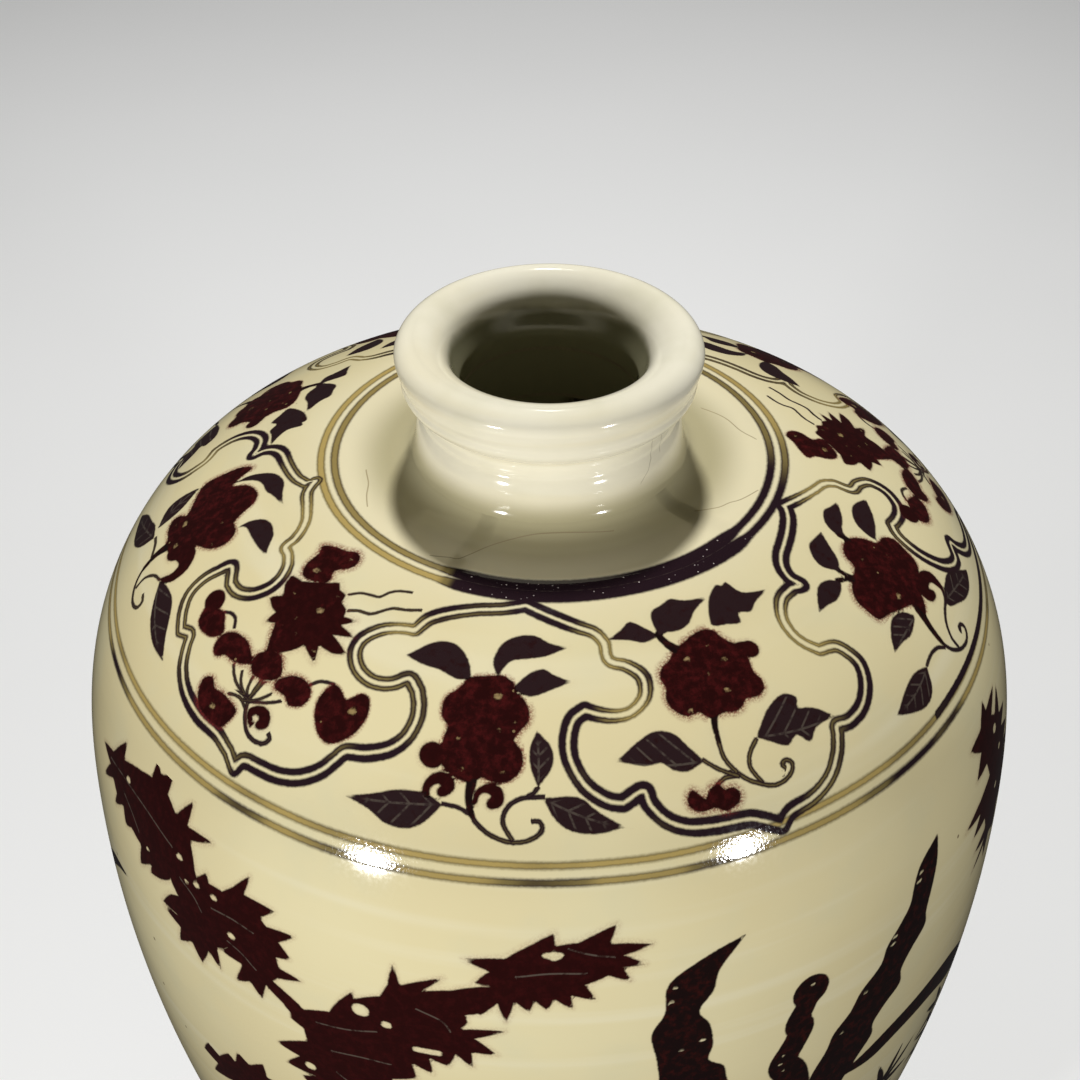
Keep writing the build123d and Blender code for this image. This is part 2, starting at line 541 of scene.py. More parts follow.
# Fine cracks in the glaze of the shoulder
hair_cracks = [
    [(-33, 8.6), (-28, 6.8), (-25.7, 6.4), (-23.4, 3.2), (-20, -1.2), (-14, -5), (-6, -7.4),
     (4, -8), (14, -7.4), (24, -6.2)],
    [(72, 11), (66, 8), (63.4, 6), (60.2, 4.6), (57, 2.2), (54.2, 0)],
    [(-62, 7), (-67, 5.4), (-73, 3.4), (-80, 3)],
    [(96, 10), (101, 6.6), (109, 4.4), (117, 0.6)],
    [(150, 12), (156, 7), (160, 1.4)], [(-140, 14), (-146, 8.4), (-149, 2)],
]

# Sprays inside and between the lobes, each drawn once and set round the shoulder

# Bloom on a curled stem inside an upper lobe
front_spray = [
    (bloom, [(-13, 40.6), (-14, 43.5), (-15.6, 46), (-15.9, 49), (-15.4, 51.8), (-14.4, 53.4),
        (-14.6, 57), (-14.5, 61), (-13.4, 64), (-11.6, 65.6), (-10, 66.2), (-8.6, 64.6), (-7.2, 65.5),
        (-5.4, 65.3), (-4, 63.3), (-3.4, 60.3), (-3.8, 57.2), (-4.8, 55.2), (-4, 52.8), (-3, 50.6),
        (-2.9, 47.8), (-3.8, 45), (-5.1, 43), (-5.7, 40.6), (-7.6, 39), (-9.4, 39.3), (-11.1, 39.8)]),
    (sparks, [(-8, 44.6), (-5.2, 50.6), (-12.6, 56), (-6.1, 63), (-11.6, 63.2), (-7.2, 53)],
        [1.3, 0.58, 0.52, 0.62, 0.58, 0.52]),
    (leaf, [(-12.5, 41), (-13.4, 37), (-15, 34), (-17.1, 32.3), (-19.7, 32.5), (-21.8, 34.4),
        (-23.8, 38.6), (-21, 39.6), (-18, 40), (-15, 41.5)], 6),
    (leaf, [(-8.4, 39.6), (-9.6, 35.4), (-8.4, 30.3), (-5.5, 27.9), (-2.5, 27.8), (0.1, 29.8),
        (2.8, 31.5), (-0.8, 33.5), (-4.2, 34.3), (-6.8, 35.4)], 6),
    (leaf, [(-6, 42.4), (-3.4, 38.2), (-1, 36.8), (0.8, 38.4), (3.1, 40.4), (0.1, 42.5), (-2.9, 44.2)],
        4),
    (leaf, [(-1.4, 66.2), (-2.5, 61), (-2.6, 56.6), (-1.7, 53.4), (0.3, 56.6), (0.4, 61.2)], 3),
    (leaf, [(-13, 72), (-15.4, 70), (-18.8, 70.5), (-21.4, 72.5), (-24.6, 75.2), (-22, 76.8),
        (-19.7, 79), (-17.1, 79.2), (-15, 77)], 4),
    (leaf, [(-0.8, 68.5), (3.5, 68.4), (5.9, 72), (8.4, 75.8), (5.7, 77.3), (2.7, 76.4), (0.7, 73.6)],
        3),
    (bud, [(-15.6, 60.9)], 3.1),
    (curl, [(-14.6, 72.6), (-15.4, 69), (-14.6, 66.4), (-13.2, 66), (-12.6, 67.6), (-13.3, 69)],
        [0.6, 0.9, 1.1, 1.5, 1.6, 1.4]),
    (curl, [(-9.2, 70.6), (-8.8, 68), (-7.8, 67), (-6.6, 67.6), (-6.4, 69.6), (-7, 70.4)],
        [0.7, 0.7, 1.0, 1.5, 1.7, 1.4]),
    (curl, [(-9.8, 65), (-9.9, 70), (-9.2, 74)], [1.4, 1.0, 0.6], dark_tone),
    (line, [(-9.6, 72), (-8.9, 74.8), (-6.8, 77.8), (-4.2, 79.1), (-2, 78.1), (-0.8, 75.9), (-1.2, 74),
        (-2.1, 74)]),
    (line, [(-4.2, 78.8), (-5.5, 74.8), (-5.1, 71), (-3.3, 68.7), (-0.6, 68.3)]),
    (line, [(-2.7, 68.3), (-1.9, 67.4), (-1.4, 66)]),
    (line, [(-13.2, 71.8), (-11.1, 72.1), (-9.7, 73.3)], 0.58),
]


# Bloom hanging in the pendant to the right
right_spray = [
    (bloom, [(21.6, 36), (20.2, 38.2), (18.5, 39.6), (17.7, 42.4), (18.1, 45), (17.5, 47.8),
        (18.3, 51.2), (20, 53.2), (21.7, 52.8), (23, 55), (25.4, 54.6), (26.4, 55.2), (28, 54.9),
        (29.2, 53.2), (31, 53.8), (32.6, 52.6), (33, 50), (32.5, 47.4), (33, 44), (32.6, 40), (31, 37),
        (30.2, 34), (28.4, 32.8), (26.2, 33.2), (24.1, 34.4)]),
    (sparks, [(23, 39), (29, 42), (25.4, 44.3), (27, 49.6), (27.6, 37.2), (20.4, 52)],
        [1.0, 0.9, 0.62, 1.0, 0.52, 0.9]),
    (leaf, [(20.2, 31.2), (19.2, 29.5), (15.9, 25.7), (13.9, 27.3), (11.3, 29.9), (14.6, 30.8),
        (17.2, 32.2)], 4),
    (leaf, [(20.2, 31.2), (20, 27), (20.8, 24), (23.4, 22.9), (25.8, 21.9), (28.4, 23.6), (32.4, 25.3),
        (29, 27.4), (26.6, 30.2), (24.1, 31.2), (22, 30.8)], 6),
    (leaf, [(30.3, 32.6), (31.4, 29), (33.4, 25.4), (36.6, 22.9), (37.6, 24), (39, 23.4), (40.2, 27.9),
        (44.2, 30.9), (41, 32), (38.9, 33.6), (36.6, 32.4), (35.7, 35), (33.1, 33.9), (31.4, 33.4)], 7),
    (leaf, [(20.3, 64.3), (18.6, 59.8), (17.2, 56.4), (14.8, 54.9), (12, 56.8), (9.4, 61), (12.5, 62.8),
        (14.6, 62.6), (15.9, 64.8), (17.8, 65.9)], 5),
    (leaf, [(28.2, 62.6), (31.2, 57.7), (34.6, 55.5), (36.5, 57.8), (35.8, 60.2), (38, 61.8),
        (39.7, 66), (37, 66.4), (35.3, 68.9), (33.8, 65.8), (32, 67.4), (30, 65)], 6),
    (bloom, [(17, 71.8), (17.8, 70.2), (18.7, 71.8), (19.3, 73), (20, 71), (21.3, 70.3), (21.9, 72),
        (23.1, 72), (23.8, 74), (23.2, 76.2), (21.5, 77.1), (20.2, 75.6), (18.5, 75.9), (17.1, 74.3)]),
    (bud, [(34, 42)], 2.3),
    (curl, [(31.8, 40.4), (33.2, 40.2), (34, 41)], [1.2, 0.9, 1.2]),
    (curl, [(20.1, 30.8), (20.9, 33.6), (22.2, 36)], [0.9, 1.0, 1.4], dark_tone),
    (curl, [(23.8, 54), (23.2, 57), (23, 61)], [1.0, 0.8, 0.5], dark_tone),
    (line, [(23, 59), (23, 65), (24.5, 70), (26, 72.5), (28.5, 74.9), (30.8, 74), (31.7, 71.6),
        (31, 70.2), (30.2, 70.8), (30.6, 72)]),
    (line, [(20, 63.8), (21.8, 67), (24.3, 70.2)], 0.62),
    (line, [(28.3, 62.8), (26.6, 65.6), (26, 69), (27, 73.4)]),
    (line, [(21, 70.6), (22.4, 69.4), (24, 69.8)]),
]


# Lotus with pods and a heart-shaped fruit in the pendant to the left
lotus_spray = [
    (bloom, [(-55.9, 23.4), (-53.6, 21.4), (-50.5, 20.2), (-48, 18.7), (-46, 19.8), (-45.4, 22.4),
        (-46.6, 24.6), (-48, 26.4), (-46.8, 29.5), (-49, 31.6), (-52.3, 32.6), (-54.2, 30),
        (-54.6, 25.6)]),
    (spiky, [(-46.7, 29.8), (-44.9, 28.2), (-43.4, 29.8), (-41.6, 30), (-41.2, 32.4), (-39.4, 33.2),
        (-38.7, 35.2), (-36.0, 34.8), (-38.2, 37.6), (-34.4, 38.8), (-38.2, 40.6), (-33.8, 43.6),
        (-36.2, 45), (-39.2, 44.6), (-37.9, 49.1), (-41.4, 46.4), (-42.2, 48.6), (-44.6, 52),
        (-46.4, 49.4), (-47, 46.6), (-48.4, 45.9), (-50.4, 47.4), (-50.3, 44), (-51.8, 43.6),
        (-53.7, 42.2), (-51.8, 39.5), (-53.6, 37.3), (-54.4, 34.3), (-51.4, 33.7), (-49.3, 32)]),
    (bloom, [(-48.2, 33), (-45, 29.6), (-41.4, 31.8), (-39.6, 37), (-40.6, 43), (-45, 44.6),
        (-49.6, 42), (-50.6, 37)]),
    (sparks, [(-51.3, 29.2), (-43.6, 37), (-43, 31.6), (-47.6, 37), (-50.6, 37.4), (-46.2, 42),
        (-44.4, 45.2), (-47.7, 21.5), (-39.4, 46.6), (-28.6, 56), (-48.8, 71.8), (-30.2, 52.6)],
        [1.2, 1.3, 0.62, 0.52, 0.52, 0.58, 0.58, 0.58, 0.58, 1.3, 1.2, 0.5]),
    (line, [(-41.4, 29.8), (-39.4, 27.7), (-37.2, 26.9), (-35.3, 26.4), (-34.2, 24.1), (-32.5, 22.6),
        (-29.7, 21.7)], 0.42, 0.7),
    (line, [(-39, 33.4), (-36.8, 32), (-34.6, 31.6), (-32.5, 29), (-31.2, 27.7), (-28.6, 26.9),
        (-25.8, 25.6)], 0.48, 0.7),
    (curl, [(-48.4, 44), (-46.8, 48.6), (-45.4, 53)], [1.5, 1.5, 1.3], bloom_tone),
    (bloom, [(-47.4, 56), (-46.4, 53), (-44.1, 51.4), (-42.2, 53.6), (-41.4, 56.6), (-43.4, 59),
        (-46, 59.3)]),
    (bloom, [(-55, 57.4), (-53.6, 54.5), (-50.5, 53.8), (-48.4, 55.4), (-47, 57.6), (-49.7, 60),
        (-52, 60.2), (-53, 62.2), (-54.6, 61)]),
    (bloom, [(-61.6, 56.6), (-60.6, 54.6), (-58, 53), (-56.4, 54.6), (-55, 56.6), (-56.4, 59.8),
        (-60, 60.4)]),
    (bud, [(-61.4, 53.2)], 3.2),
    (bloom, [(-41.6, 57.4), (-40, 54.5), (-38.1, 53.7), (-36.2, 54.6), (-35.3, 57.2), (-35.9, 60),
        (-37.8, 61.2), (-39, 59.6), (-41, 59.4)]),
    (bloom, [(-33.1, 51.7), (-31.6, 52), (-30, 53.9), (-28.6, 51.4), (-27, 51.4), (-26, 55),
        (-26.4, 59.6), (-27.8, 63.1), (-29.9, 65.4), (-32.1, 63.6), (-33.8, 59), (-34, 55)]),
    (line, [(-58.2, 53.4), (-57, 52), (-55.4, 51.9), (-54, 54)], 0.52),
    (line, [(-36.6, 54.6), (-35.1, 52.3), (-33, 51.7)], 0.52),
    (line, [(-43.7, 65.4), (-47.552, 63.2), (-49.6, 60.4)], 0.5),
    (line, [(-43.7, 65.4), (-46.312, 63.2), (-47.6, 60.2)], 0.5),
    (line, [(-43.7, 65.4), (-44.948, 63.2), (-45.4, 59.4)], 0.5),
    (line, [(-43.7, 65.4), (-43.584, 63.2), (-43.2, 59.2)], 0.5),
    (line, [(-43.7, 65.4), (-42.22, 63.2), (-41, 60.6)], 0.5),
    (line, [(-43.7, 65.4), (-40.98, 63.2), (-39, 61)], 0.5),
    (line, [(-43.7, 58), (-43.8, 65), (-42.8, 69.5), (-41.1, 72.4), (-38.9, 72.5), (-37.9, 70.6),
        (-38.6, 69.3)], 0.66),
    (curl, [(-41.6, 69.8), (-42.6, 67.4), (-41.6, 65.8), (-40.4, 66), (-39.9, 67.6), (-40.4, 68.8)],
        [0.8, 0.9, 1.1, 1.6, 1.8, 1.2]),
    (line, [(-43.5, 67.4), (-45.4, 65.8), (-47.5, 66.9)], 0.52),
    (bloom, [(-52.6, 68), (-51.2, 66.2), (-49.9, 68), (-48.4, 67.5), (-46.2, 68), (-44.6, 69),
        (-45, 72.5), (-46, 75), (-50, 74.6), (-52, 72)]),
]


# Bloom with paired leaves inside the upper lobe at the right
side_spray = [
    (bloom, [(61.1, 43.4), (63.4, 42.3), (64.1, 39.5), (65.8, 37.4), (68.4, 37.1), (70.3, 39.1),
        (71.5, 42), (72.2, 45), (74.4, 45.9), (75.6, 49.3), (74.8, 53), (73.7, 57.1), (71.6, 58.6),
        (69.2, 60), (67.5, 63), (65.6, 64.8), (65.1, 60.5), (63.2, 58.8), (60.2, 56.6), (57.6, 55.3),
        (57.1, 51.5), (57.2, 47.8), (58.9, 44.8)]),
    (sparks, [(64.2, 56), (70.5, 48.6), (66, 43)], [1.2, 0.52, 0.5]),
    (leaf, [(58.4, 41.6), (56.6, 39), (54.2, 38.3), (52, 40), (50.1, 43.3), (52.4, 43.6), (54.4, 44.2),
        (57, 43.2)], 4),
    (leaf, [(60.3, 39.8), (58.5, 36), (59.1, 32.4), (61.5, 29.7), (64, 29.9), (66.3, 31), (64.5, 34),
        (62.4, 38)], 5),
    (leaf, [(68.8, 37.2), (68.5, 33.2), (70.1, 30), (73.1, 28.8), (75, 30), (77.2, 32), (74, 34),
        (70.4, 35.2)], 5),
    (leaf, [(72.6, 44.4), (72.9, 41), (74.4, 37.6), (77.4, 36), (80, 36.8), (82, 39.9), (78.7, 42.2),
        (75.7, 43.5)], 5),
    (leaf, [(63.8, 62.4), (62.4, 59), (59.8, 57.6), (57.2, 59.8), (55.8, 63.6), (58, 63.6),
        (60.4, 64.2)], 4),
    (leaf, [(59, 72.6), (56.1, 71), (52.9, 72.3), (50, 75.4), (52, 78), (55, 79.7), (57.4, 78.2)], 3),
    (leaf, [(71.4, 68.6), (74, 67.2), (77, 67.2), (79.3, 69.8), (82.2, 75.4), (79.8, 77.1), (76.5, 76),
        (73.5, 73), (71.6, 70.8)], 4),
    (curl, [(73.2, 66.8), (73.2, 62), (71.4, 60.2), (69.8, 61.2), (69.6, 63.6), (70.6, 64.4)],
        [0.8, 1.6, 2.0, 2.3, 2.1, 1.2]),
    (line, [(73.1, 66.4), (72.4, 68), (71.2, 69.2)], 0.62),
    (curl, [(61.4, 44.6), (60.6, 42.2), (60.2, 39.4)], [1.0, 0.7, 0.8], stem_tone),
    (curl, [(60.8, 44), (59.4, 42.2), (58, 41)], [1.0, 0.7, 0.9], stem_tone),
    (curl, [(68.8, 39.6), (68.6, 37.6), (68.8, 35)], [1.2, 0.9, 1.2], stem_tone),
    (curl, [(65.4, 62), (64.6, 68), (64.6, 73.3)], [1.5, 1.1, 0.8], stem_tone),
    (line, [(64.6, 70), (64.7, 73.3), (65.8, 77), (67.9, 79.6), (70.1, 80.2), (71.4, 78.3), (71, 76.2),
        (69.9, 76), (70, 77.4)], 0.62),
    (line, [(67.3, 78.5), (67.1, 74.8), (68.2, 71.4), (70.1, 69.5), (72, 68.8)], 0.58),
    (line, [(58.9, 72.7), (60.6, 71.8), (62.8, 72.1), (64.6, 74.4)], 0.58),
]


# Bloom inside the upper lobe at the left
far_spray = [
    (bloom, [(-86.8, 39.9), (-85.5, 36.1), (-83.6, 33.7), (-80.8, 32.4), (-78.4, 33.9), (-77.1, 37.2),
        (-75.6, 40.2), (-73.2, 40.2), (-71.5, 42.9), (-71.7, 46.6), (-73.2, 49.5), (-75.4, 51.9),
        (-76.2, 54), (-75.4, 57), (-76.2, 60), (-79.2, 61), (-80, 63), (-81.4, 60.8), (-83.6, 60.6),
        (-85.5, 59.4), (-85.7, 56.6), (-84.6, 54), (-87, 52.2), (-89.2, 51.1), (-91.2, 49), (-91.8, 44),
        (-92, 38), (-90.4, 34.4), (-88.4, 38)]),
    (sparks, [(-82.6, 54.6), (-78.8, 58), (-77.5, 43.6), (-84, 57.6), (-73.4, 47.6)],
        [1.4, 1.2, 0.62, 0.62, 0.58]),
    (leaf, [(-87.4, 40), (-88, 34.6), (-86.8, 29.6), (-84.8, 26.4), (-81.4, 24.8), (-78.4, 25.5),
        (-74.6, 27.2), (-78, 28.3), (-80.5, 30), (-83.6, 31), (-85.7, 33.2), (-87, 37)], 6),
    (leaf, [(-73.9, 40), (-73.6, 35.4), (-71.9, 32), (-69.4, 30.9), (-66.4, 31.8), (-64.6, 33.9),
        (-63.2, 36.4), (-66, 36.8), (-69.4, 37.1), (-72.6, 37.5)], 6),
    (leaf, [(-74.3, 64.6), (-71.5, 63.2), (-68.5, 63), (-65.9, 65.8), (-63.8, 69.5), (-61.8, 73.5),
        (-65.1, 74.1), (-68.5, 72.2), (-71.1, 69.2), (-73, 66.4)], 5),
    (leaf, [(-84.8, 66), (-87.9, 66.1), (-90, 68.2), (-93.6, 72), (-96, 77.6), (-90, 77), (-87.4, 74.9),
        (-85.7, 71.4)], 4),
    (leaf, [(-86.4, 65), (-86.6, 60), (-87.6, 55.6), (-90.6, 51.6), (-91, 57), (-90, 62)], 3),
    (curl, [(-77.4, 58), (-76.4, 56), (-74.4, 55.2), (-72.7, 57), (-72.5, 61), (-74, 64.6)],
        [3.4, 3.2, 2.4, 1.9, 1.4, 0.7]),
    (curl, [(-80, 61), (-80.3, 65), (-79.9, 70.3)], [1.7, 1.1, 0.8], stem_tone),
    (line, [(-80.3, 65), (-79.9, 70.3), (-78.4, 74.4), (-75.8, 76.4), (-73.9, 75.1), (-73.7, 72.5),
        (-75, 71.8)], 0.62),
    (line, [(-77.7, 74.4), (-77.7, 70.3), (-76.2, 66.5), (-74.2, 65)], 0.52),
    (line, [(-84.8, 65.4), (-82.7, 65.4), (-80.6, 66.9)], 0.62),
]


def draw_sprays(ground):
    """All sprays round the shoulder; those at the back repeat the front ones."""
    for places in hair_cracks:
        line(ground, places, 0.13, hair_crack)
    for spray, turn in (
        (far_spray, 0), (lotus_spray, 0), (front_spray, 0), (right_spray, 0), (side_spray, 0),
        (lotus_spray, 146), (front_spray, 145.5), (right_spray, 147.7), (side_spray, 142),
        (right_spray, 218),
    ):
        draw_motif(ground, spray, turn)
    line(ground, [(55.6, 83.6), (62, 83.3), (75, 83.4), (88, 83.7), (96, 84)], 1.1, 0.95)


# The garden scene round the body

# Dark boughs of needles that climb across the front of the body
boughs = [
    (spiky, [(-67.9, 110.3), (-64.2, 107.6), (-61, 99), (-60.8, 104.6), (-56.2, 100.9), (-53.9, 99.4),
        (-53.6, 94), (-52.2, 96.3), (-50, 93.6), (-50.2, 99.4), (-48.1, 102.6), (-45.6, 95.4),
        (-45.8, 103), (-41.4, 102.4), (-45, 106.2), (-43.7, 114), (-46.6, 113), (-46.4, 117),
        (-48, 120), (-48.4, 124), (-50.2, 126.9), (-52.8, 129), (-52.4, 125.2), (-55.4, 130.4),
        (-54.9, 123), (-57.4, 121.5), (-59.1, 123.4), (-59.9, 118), (-62.7, 122.4), (-62.1, 118),
        (-63.4, 115), (-67, 119.8), (-64.8, 112.6)]),
    (spiky, [(-47.5, 116), (-46.6, 114), (-44.2, 112.6), (-43.4, 115.6), (-41.8, 111.8), (-41.4, 114.6),
        (-39.2, 114.2), (-37.7, 111), (-35.3, 104.8), (-36, 111.2), (-31.6, 111.4), (-33.6, 115.4),
        (-32.7, 117.2), (-28.8, 116.2), (-31, 120.4), (-29.3, 124.2), (-31.4, 125.8), (-31, 129),
        (-28, 130), (-31.3, 132.8), (-32, 134.8), (-28.6, 139), (-26.6, 144), (-28.8, 146), (-31, 141),
        (-33.1, 137.6), (-33.9, 143.8), (-35.4, 139.6), (-37.7, 142.6), (-36.8, 137.2), (-36.4, 134.9),
        (-39.7, 134.6), (-38.4, 131.6), (-40.4, 135), (-40.1, 142.6), (-41.9, 138.4), (-43.5, 145.6),
        (-45, 140.2), (-47.6, 144.2), (-47, 138.4), (-50.2, 136.4), (-47.2, 134.4), (-50.4, 134.8),
        (-48.6, 129.2), (-46.9, 127), (-48.2, 124), (-49, 119)]),
    (spiky, [(-17, 114.8), (-16.2, 120.8), (-11.4, 116), (-13.9, 121.4), (-10.6, 119.5), (-6.7, 116.9),
        (-5.3, 121), (-7.4, 125.8), (-9, 126.9), (-8.7, 129.6), (-9.6, 131.9), (-4.6, 131), (-8, 134.6),
        (-5.6, 139.8), (-8.4, 139.6), (-8.3, 145.4), (-10.1, 141), (-11, 146), (-13.1, 144.2),
        (-12.8, 150), (-15.2, 147.2), (-14.7, 153), (-17.6, 155.6), (-18, 163), (-16.6, 170),
        (-19, 172), (-17.6, 180), (-20.4, 181), (-20, 188), (-23.4, 184), (-25, 190), (-26.2, 182),
        (-30, 184), (-27.6, 177), (-31.4, 174), (-28.2, 170.6), (-29.6, 168), (-27.4, 165.6),
        (-31.6, 165.4), (-29.4, 159.8), (-32.6, 158.5), (-29.9, 154.4), (-28, 152), (-28.3, 147.4),
        (-30.2, 145.4), (-28.4, 140.4), (-24.7, 137), (-23.7, 132.7), (-21.7, 127), (-21.6, 129.4),
        (-18.4, 125.8), (-17.6, 121.6)]),
    (spiky, [(-9.3, 109.6), (-4.7, 108.4), (-1.9, 104.2), (0.5, 101.2), (0.6, 104.6), (3.2, 103.8),
        (7.3, 99.6), (6.5, 104.6), (11.2, 106), (8, 108.2), (10.4, 111.4), (7.8, 111.6), (8.8, 116),
        (6.3, 113.6), (3.8, 116), (5, 120.8), (2.3, 119), (2.5, 123.4), (0.5, 120), (-0.2, 123.6),
        (-1.6, 120.4), (-2.1, 124.3), (-3.7, 121), (-4.6, 128), (-5.5, 122), (-7.4, 126.4), (-8, 122.4),
        (-10.6, 127), (-10.8, 121.6), (-7.8, 118.2), (-5.7, 116.4), (-8, 116.2), (-6.4, 112.4)]),
    (spiky, [(-48, 190), (-46.4, 184), (-44.4, 186), (-42, 180), (-40.9, 182), (-40, 175.6),
        (-38.2, 178), (-35.6, 173), (-35.4, 178.6), (-31, 177), (-33, 182), (-28.6, 184), (-32.4, 188),
        (-30, 195), (-34.6, 192), (-36, 200), (-38.6, 193.6), (-42, 201), (-42.6, 194), (-47, 198),
        (-45.4, 191.6)]),
    (curl, [(-76, 170), (-71.1, 160), (-68.7, 154.2), (-65.1, 149), (-61, 146)], [2.6, 3, 2.6, 2, 0.3],
        dark_tone),
    (gaps, [(-59.1, 108), (-43.6, 118), (-40.7, 118), (-38, 127), (-46.8, 113.6), (-21, 132.6),
        (-18, 135.4), (-28.2, 162), (0.4, 107.4), (-53.4, 121.6), (-45.4, 119.6)],
        [0.9, 0.9, 0.9, 1.0, 0.9, 2.0, 1.1, 1.3, 1.2, 0.6, 0.6]),
    (line, [(-65, 110.6), (-60, 109.2), (-54, 109.6), (-48, 112.6)], 0.22, scratched),
    (line, [(-60, 113.4), (-57.4, 116), (-55.4, 119.4)], 0.22, scratched),
    (line, [(-46.6, 120), (-44, 122.6), (-42.6, 126)], 0.22, scratched),
    (line, [(-41, 122), (-37.6, 121), (-34.4, 121.6)], 0.22, scratched),
    (line, [(-38.6, 129.6), (-36.4, 131), (-34.4, 134)], 0.22, scratched),
    (line, [(-26.6, 143), (-22.6, 141.4), (-19, 138.8)], 0.22, scratched),
    (line, [(-25, 152), (-21, 150.4), (-17.6, 150)], 0.22, scratched),
    (line, [(-24.6, 160), (-22.4, 164), (-21.8, 170)], 0.22, scratched),
    (line, [(-14.4, 127.4), (-11.6, 130), (-10.6, 133.4)], 0.22, scratched),
    (line, [(-3.6, 113.6), (0, 112.4), (4, 112.6)], 0.22, scratched),
    (line, [(2, 105.4), (4.6, 107.4), (7, 108.4)], 0.22, scratched),
    (gaps, [(-14.6, 141.8)], [0.9], [2.6]),
    (gaps, [(-0.4, 107.2)], [0.8], [1.6]),
]


# Tall leaves that rise on the right of the front
garden_leaves = [
    (tall_leaf, [(21.8, 109), (18.2, 111.4), (14.4, 115.6), (12.6, 119.8), (12.4, 128), (11, 134.8),
        (11.7, 144.5), (12, 155), (10.6, 166), (12.4, 178), (11, 192), (22, 190), (20.4, 178),
        (22, 168), (20.2, 158), (19.6, 152), (17.7, 148), (18.1, 142.6), (17.6, 134.8), (16.3, 129.4),
        (17.9, 123.5), (18.7, 117)], 11),
    (bud, [(30, 135.6)], 5.3, blade_tone),
    (curl, [(29.8, 139), (28.7, 145.3), (29.2, 149.4), (28.2, 155), (27.3, 160.3), (28.7, 166.3),
        (29.5, 174.5), (28.4, 186), (29, 198)], [3.4, 4, 4.2, 4.4, 4.8, 4.6, 4.6, 5, 5], blade_tone),
    (tall_leaf, [(50.5, 111.6), (47, 116), (45.7, 121), (45, 127), (43.3, 131.6), (41.4, 136),
        (40.6, 141.6), (37.8, 147), (36.4, 153), (34.3, 158), (33.5, 164), (31.8, 172), (31, 182),
        (29.6, 194), (37, 194), (37.4, 184), (39.4, 176), (41.2, 170), (41, 165), (42.7, 160),
        (45, 156), (44.8, 150), (46.3, 145), (48.6, 140), (48.5, 134.6), (49.4, 127), (50.2, 120)], 14),
    (dark, [(36.6, 180.4), (40, 177.6), (45, 174), (50, 172.3), (55, 172), (60, 174), (65, 181),
        (68, 192), (62, 188), (55, 182), (48, 181), (42, 183)]),
    (spiky, [(60.2, 101.4), (64.1, 100.4), (66.8, 95), (67, 98.8), (71.6, 98), (68.4, 102.5),
        (69.7, 104.8), (72.8, 99.6), (71.6, 107.6), (75, 109.3), (72, 112.6), (76, 117), (73, 119),
        (77.6, 123), (73.8, 125), (77, 131), (73.4, 131), (74.6, 139), (70.6, 137), (71, 146),
        (67.2, 141), (66, 149), (65, 142), (60.8, 144.8), (65, 139.2), (60.8, 137.2), (64.6, 134.6),
        (63.8, 130), (59.8, 129.8), (61.8, 124.6), (57.2, 123), (62, 119.6), (65.3, 117.4), (64.4, 112),
        (60.8, 112), (63, 106)]),
    (gaps, [(68.6, 107.6), (68, 126), (70, 116)], [1.2, 0.9, 0.8]),
    (gaps, [(13.4, 120), (13, 124.4), (16.6, 140), (14.3, 142), (46.4, 121.6), (46.8, 119), (42.2, 137),
        (42.6, 134.6), (38.4, 148.6), (35.4, 159.6), (30.2, 133.8), (27.2, 157), (26.9, 160),
        (27.4, 163)], [0.45] * 14,
        [0.3, 0.3, 0.4, 0.3, 0.5, 0.4, 0.5, 0.3, 0.5, 0.4, 0.2, 0.1, 0.1, 0.1]),
]


bamboo_foot = 262
grass_foot = 274


def rock(ground, centre, wide, tall, seed):
    """Garden rock with a lumpy outline and hollows."""
    draw = np.random.default_rng(seed)
    around = []
    for i in range(16):
        way = 2 * math.pi * i / 16
        reach = draw.uniform(0.8, 1.1)
        across = wide * reach * math.cos(way) / degree_at(centre[1])
        around.append((centre[0] + across, centre[1] + tall * reach * math.sin(way)))
    dark(ground, around)
    for _ in range(5):
        spot = place(centre, draw.uniform(0, 360), draw.uniform(2, 0.6 * tall))
        gaps(ground, [spot], [draw.uniform(1.4, 3.0)], [draw.uniform(0.5, 3.0)])


def bamboo(ground, foot, height, lean, seed):
    """Bamboo stalk with sprays of pointed leaves."""
    draw = np.random.default_rng(seed)
    joints = 5
    shares = [i / joints for i in range(joints + 1)]
    spots = [(foot[0] + lean * share, foot[1] - height * share) for share in shares]
    line(ground, spots, 0.9, 0.9)
    for spot in spots[1:]:
        for side in (-1, 1):
            for spread in (25, 60, 95):
                way = -90 + side * (spread + draw.uniform(-10, 10))
                start = place(spot, way, 1.5)
                dart(ground, start, place(spot, way, draw.uniform(11, 19)), 2.1, dark_tone)


def draw_body(ground):
    """The scene all round the body, with the unseen parts made of the same motifs."""
    for motif, turn in (boughs, 0), (garden_leaves, 0), (boughs, 172), (garden_leaves, 174):
        draw_motif(ground, motif, turn)
    for angle, slope, wide, tall, seed in (
        (14, 246, 30, 20, 61), (92, 240, 26, 26, 62), (186, 246, 32, 20, 63),
        (-74, 238, 26, 24, 64), (-128, 248, 24, 18, 65),
    ):
        rock(ground, (angle, slope), wide, tall, seed)
    for angle, height, lean, seed in (
        (-38, 44, -3, 71), (-12, 52, 4, 72), (44, 54, 4, 73), (66, 62, -4, 74), (112, 66, 4, 75),
        (-105, 70, -4, 79), (-146, 74, 4, 80), (158, 50, -3, 77), (-164, 52, 4, 78),
    ):
        bamboo(ground, (angle, bamboo_foot), height, lean, seed)
    for angle in range(-172, 188, 15):
        dart(ground, (angle, grass_foot), (angle + 5, grass_foot - 13), 1.6, dark_tone)
        dart(ground, (angle + 1, grass_foot), (angle - 4, grass_foot - 11), 1.6, dark_tone)


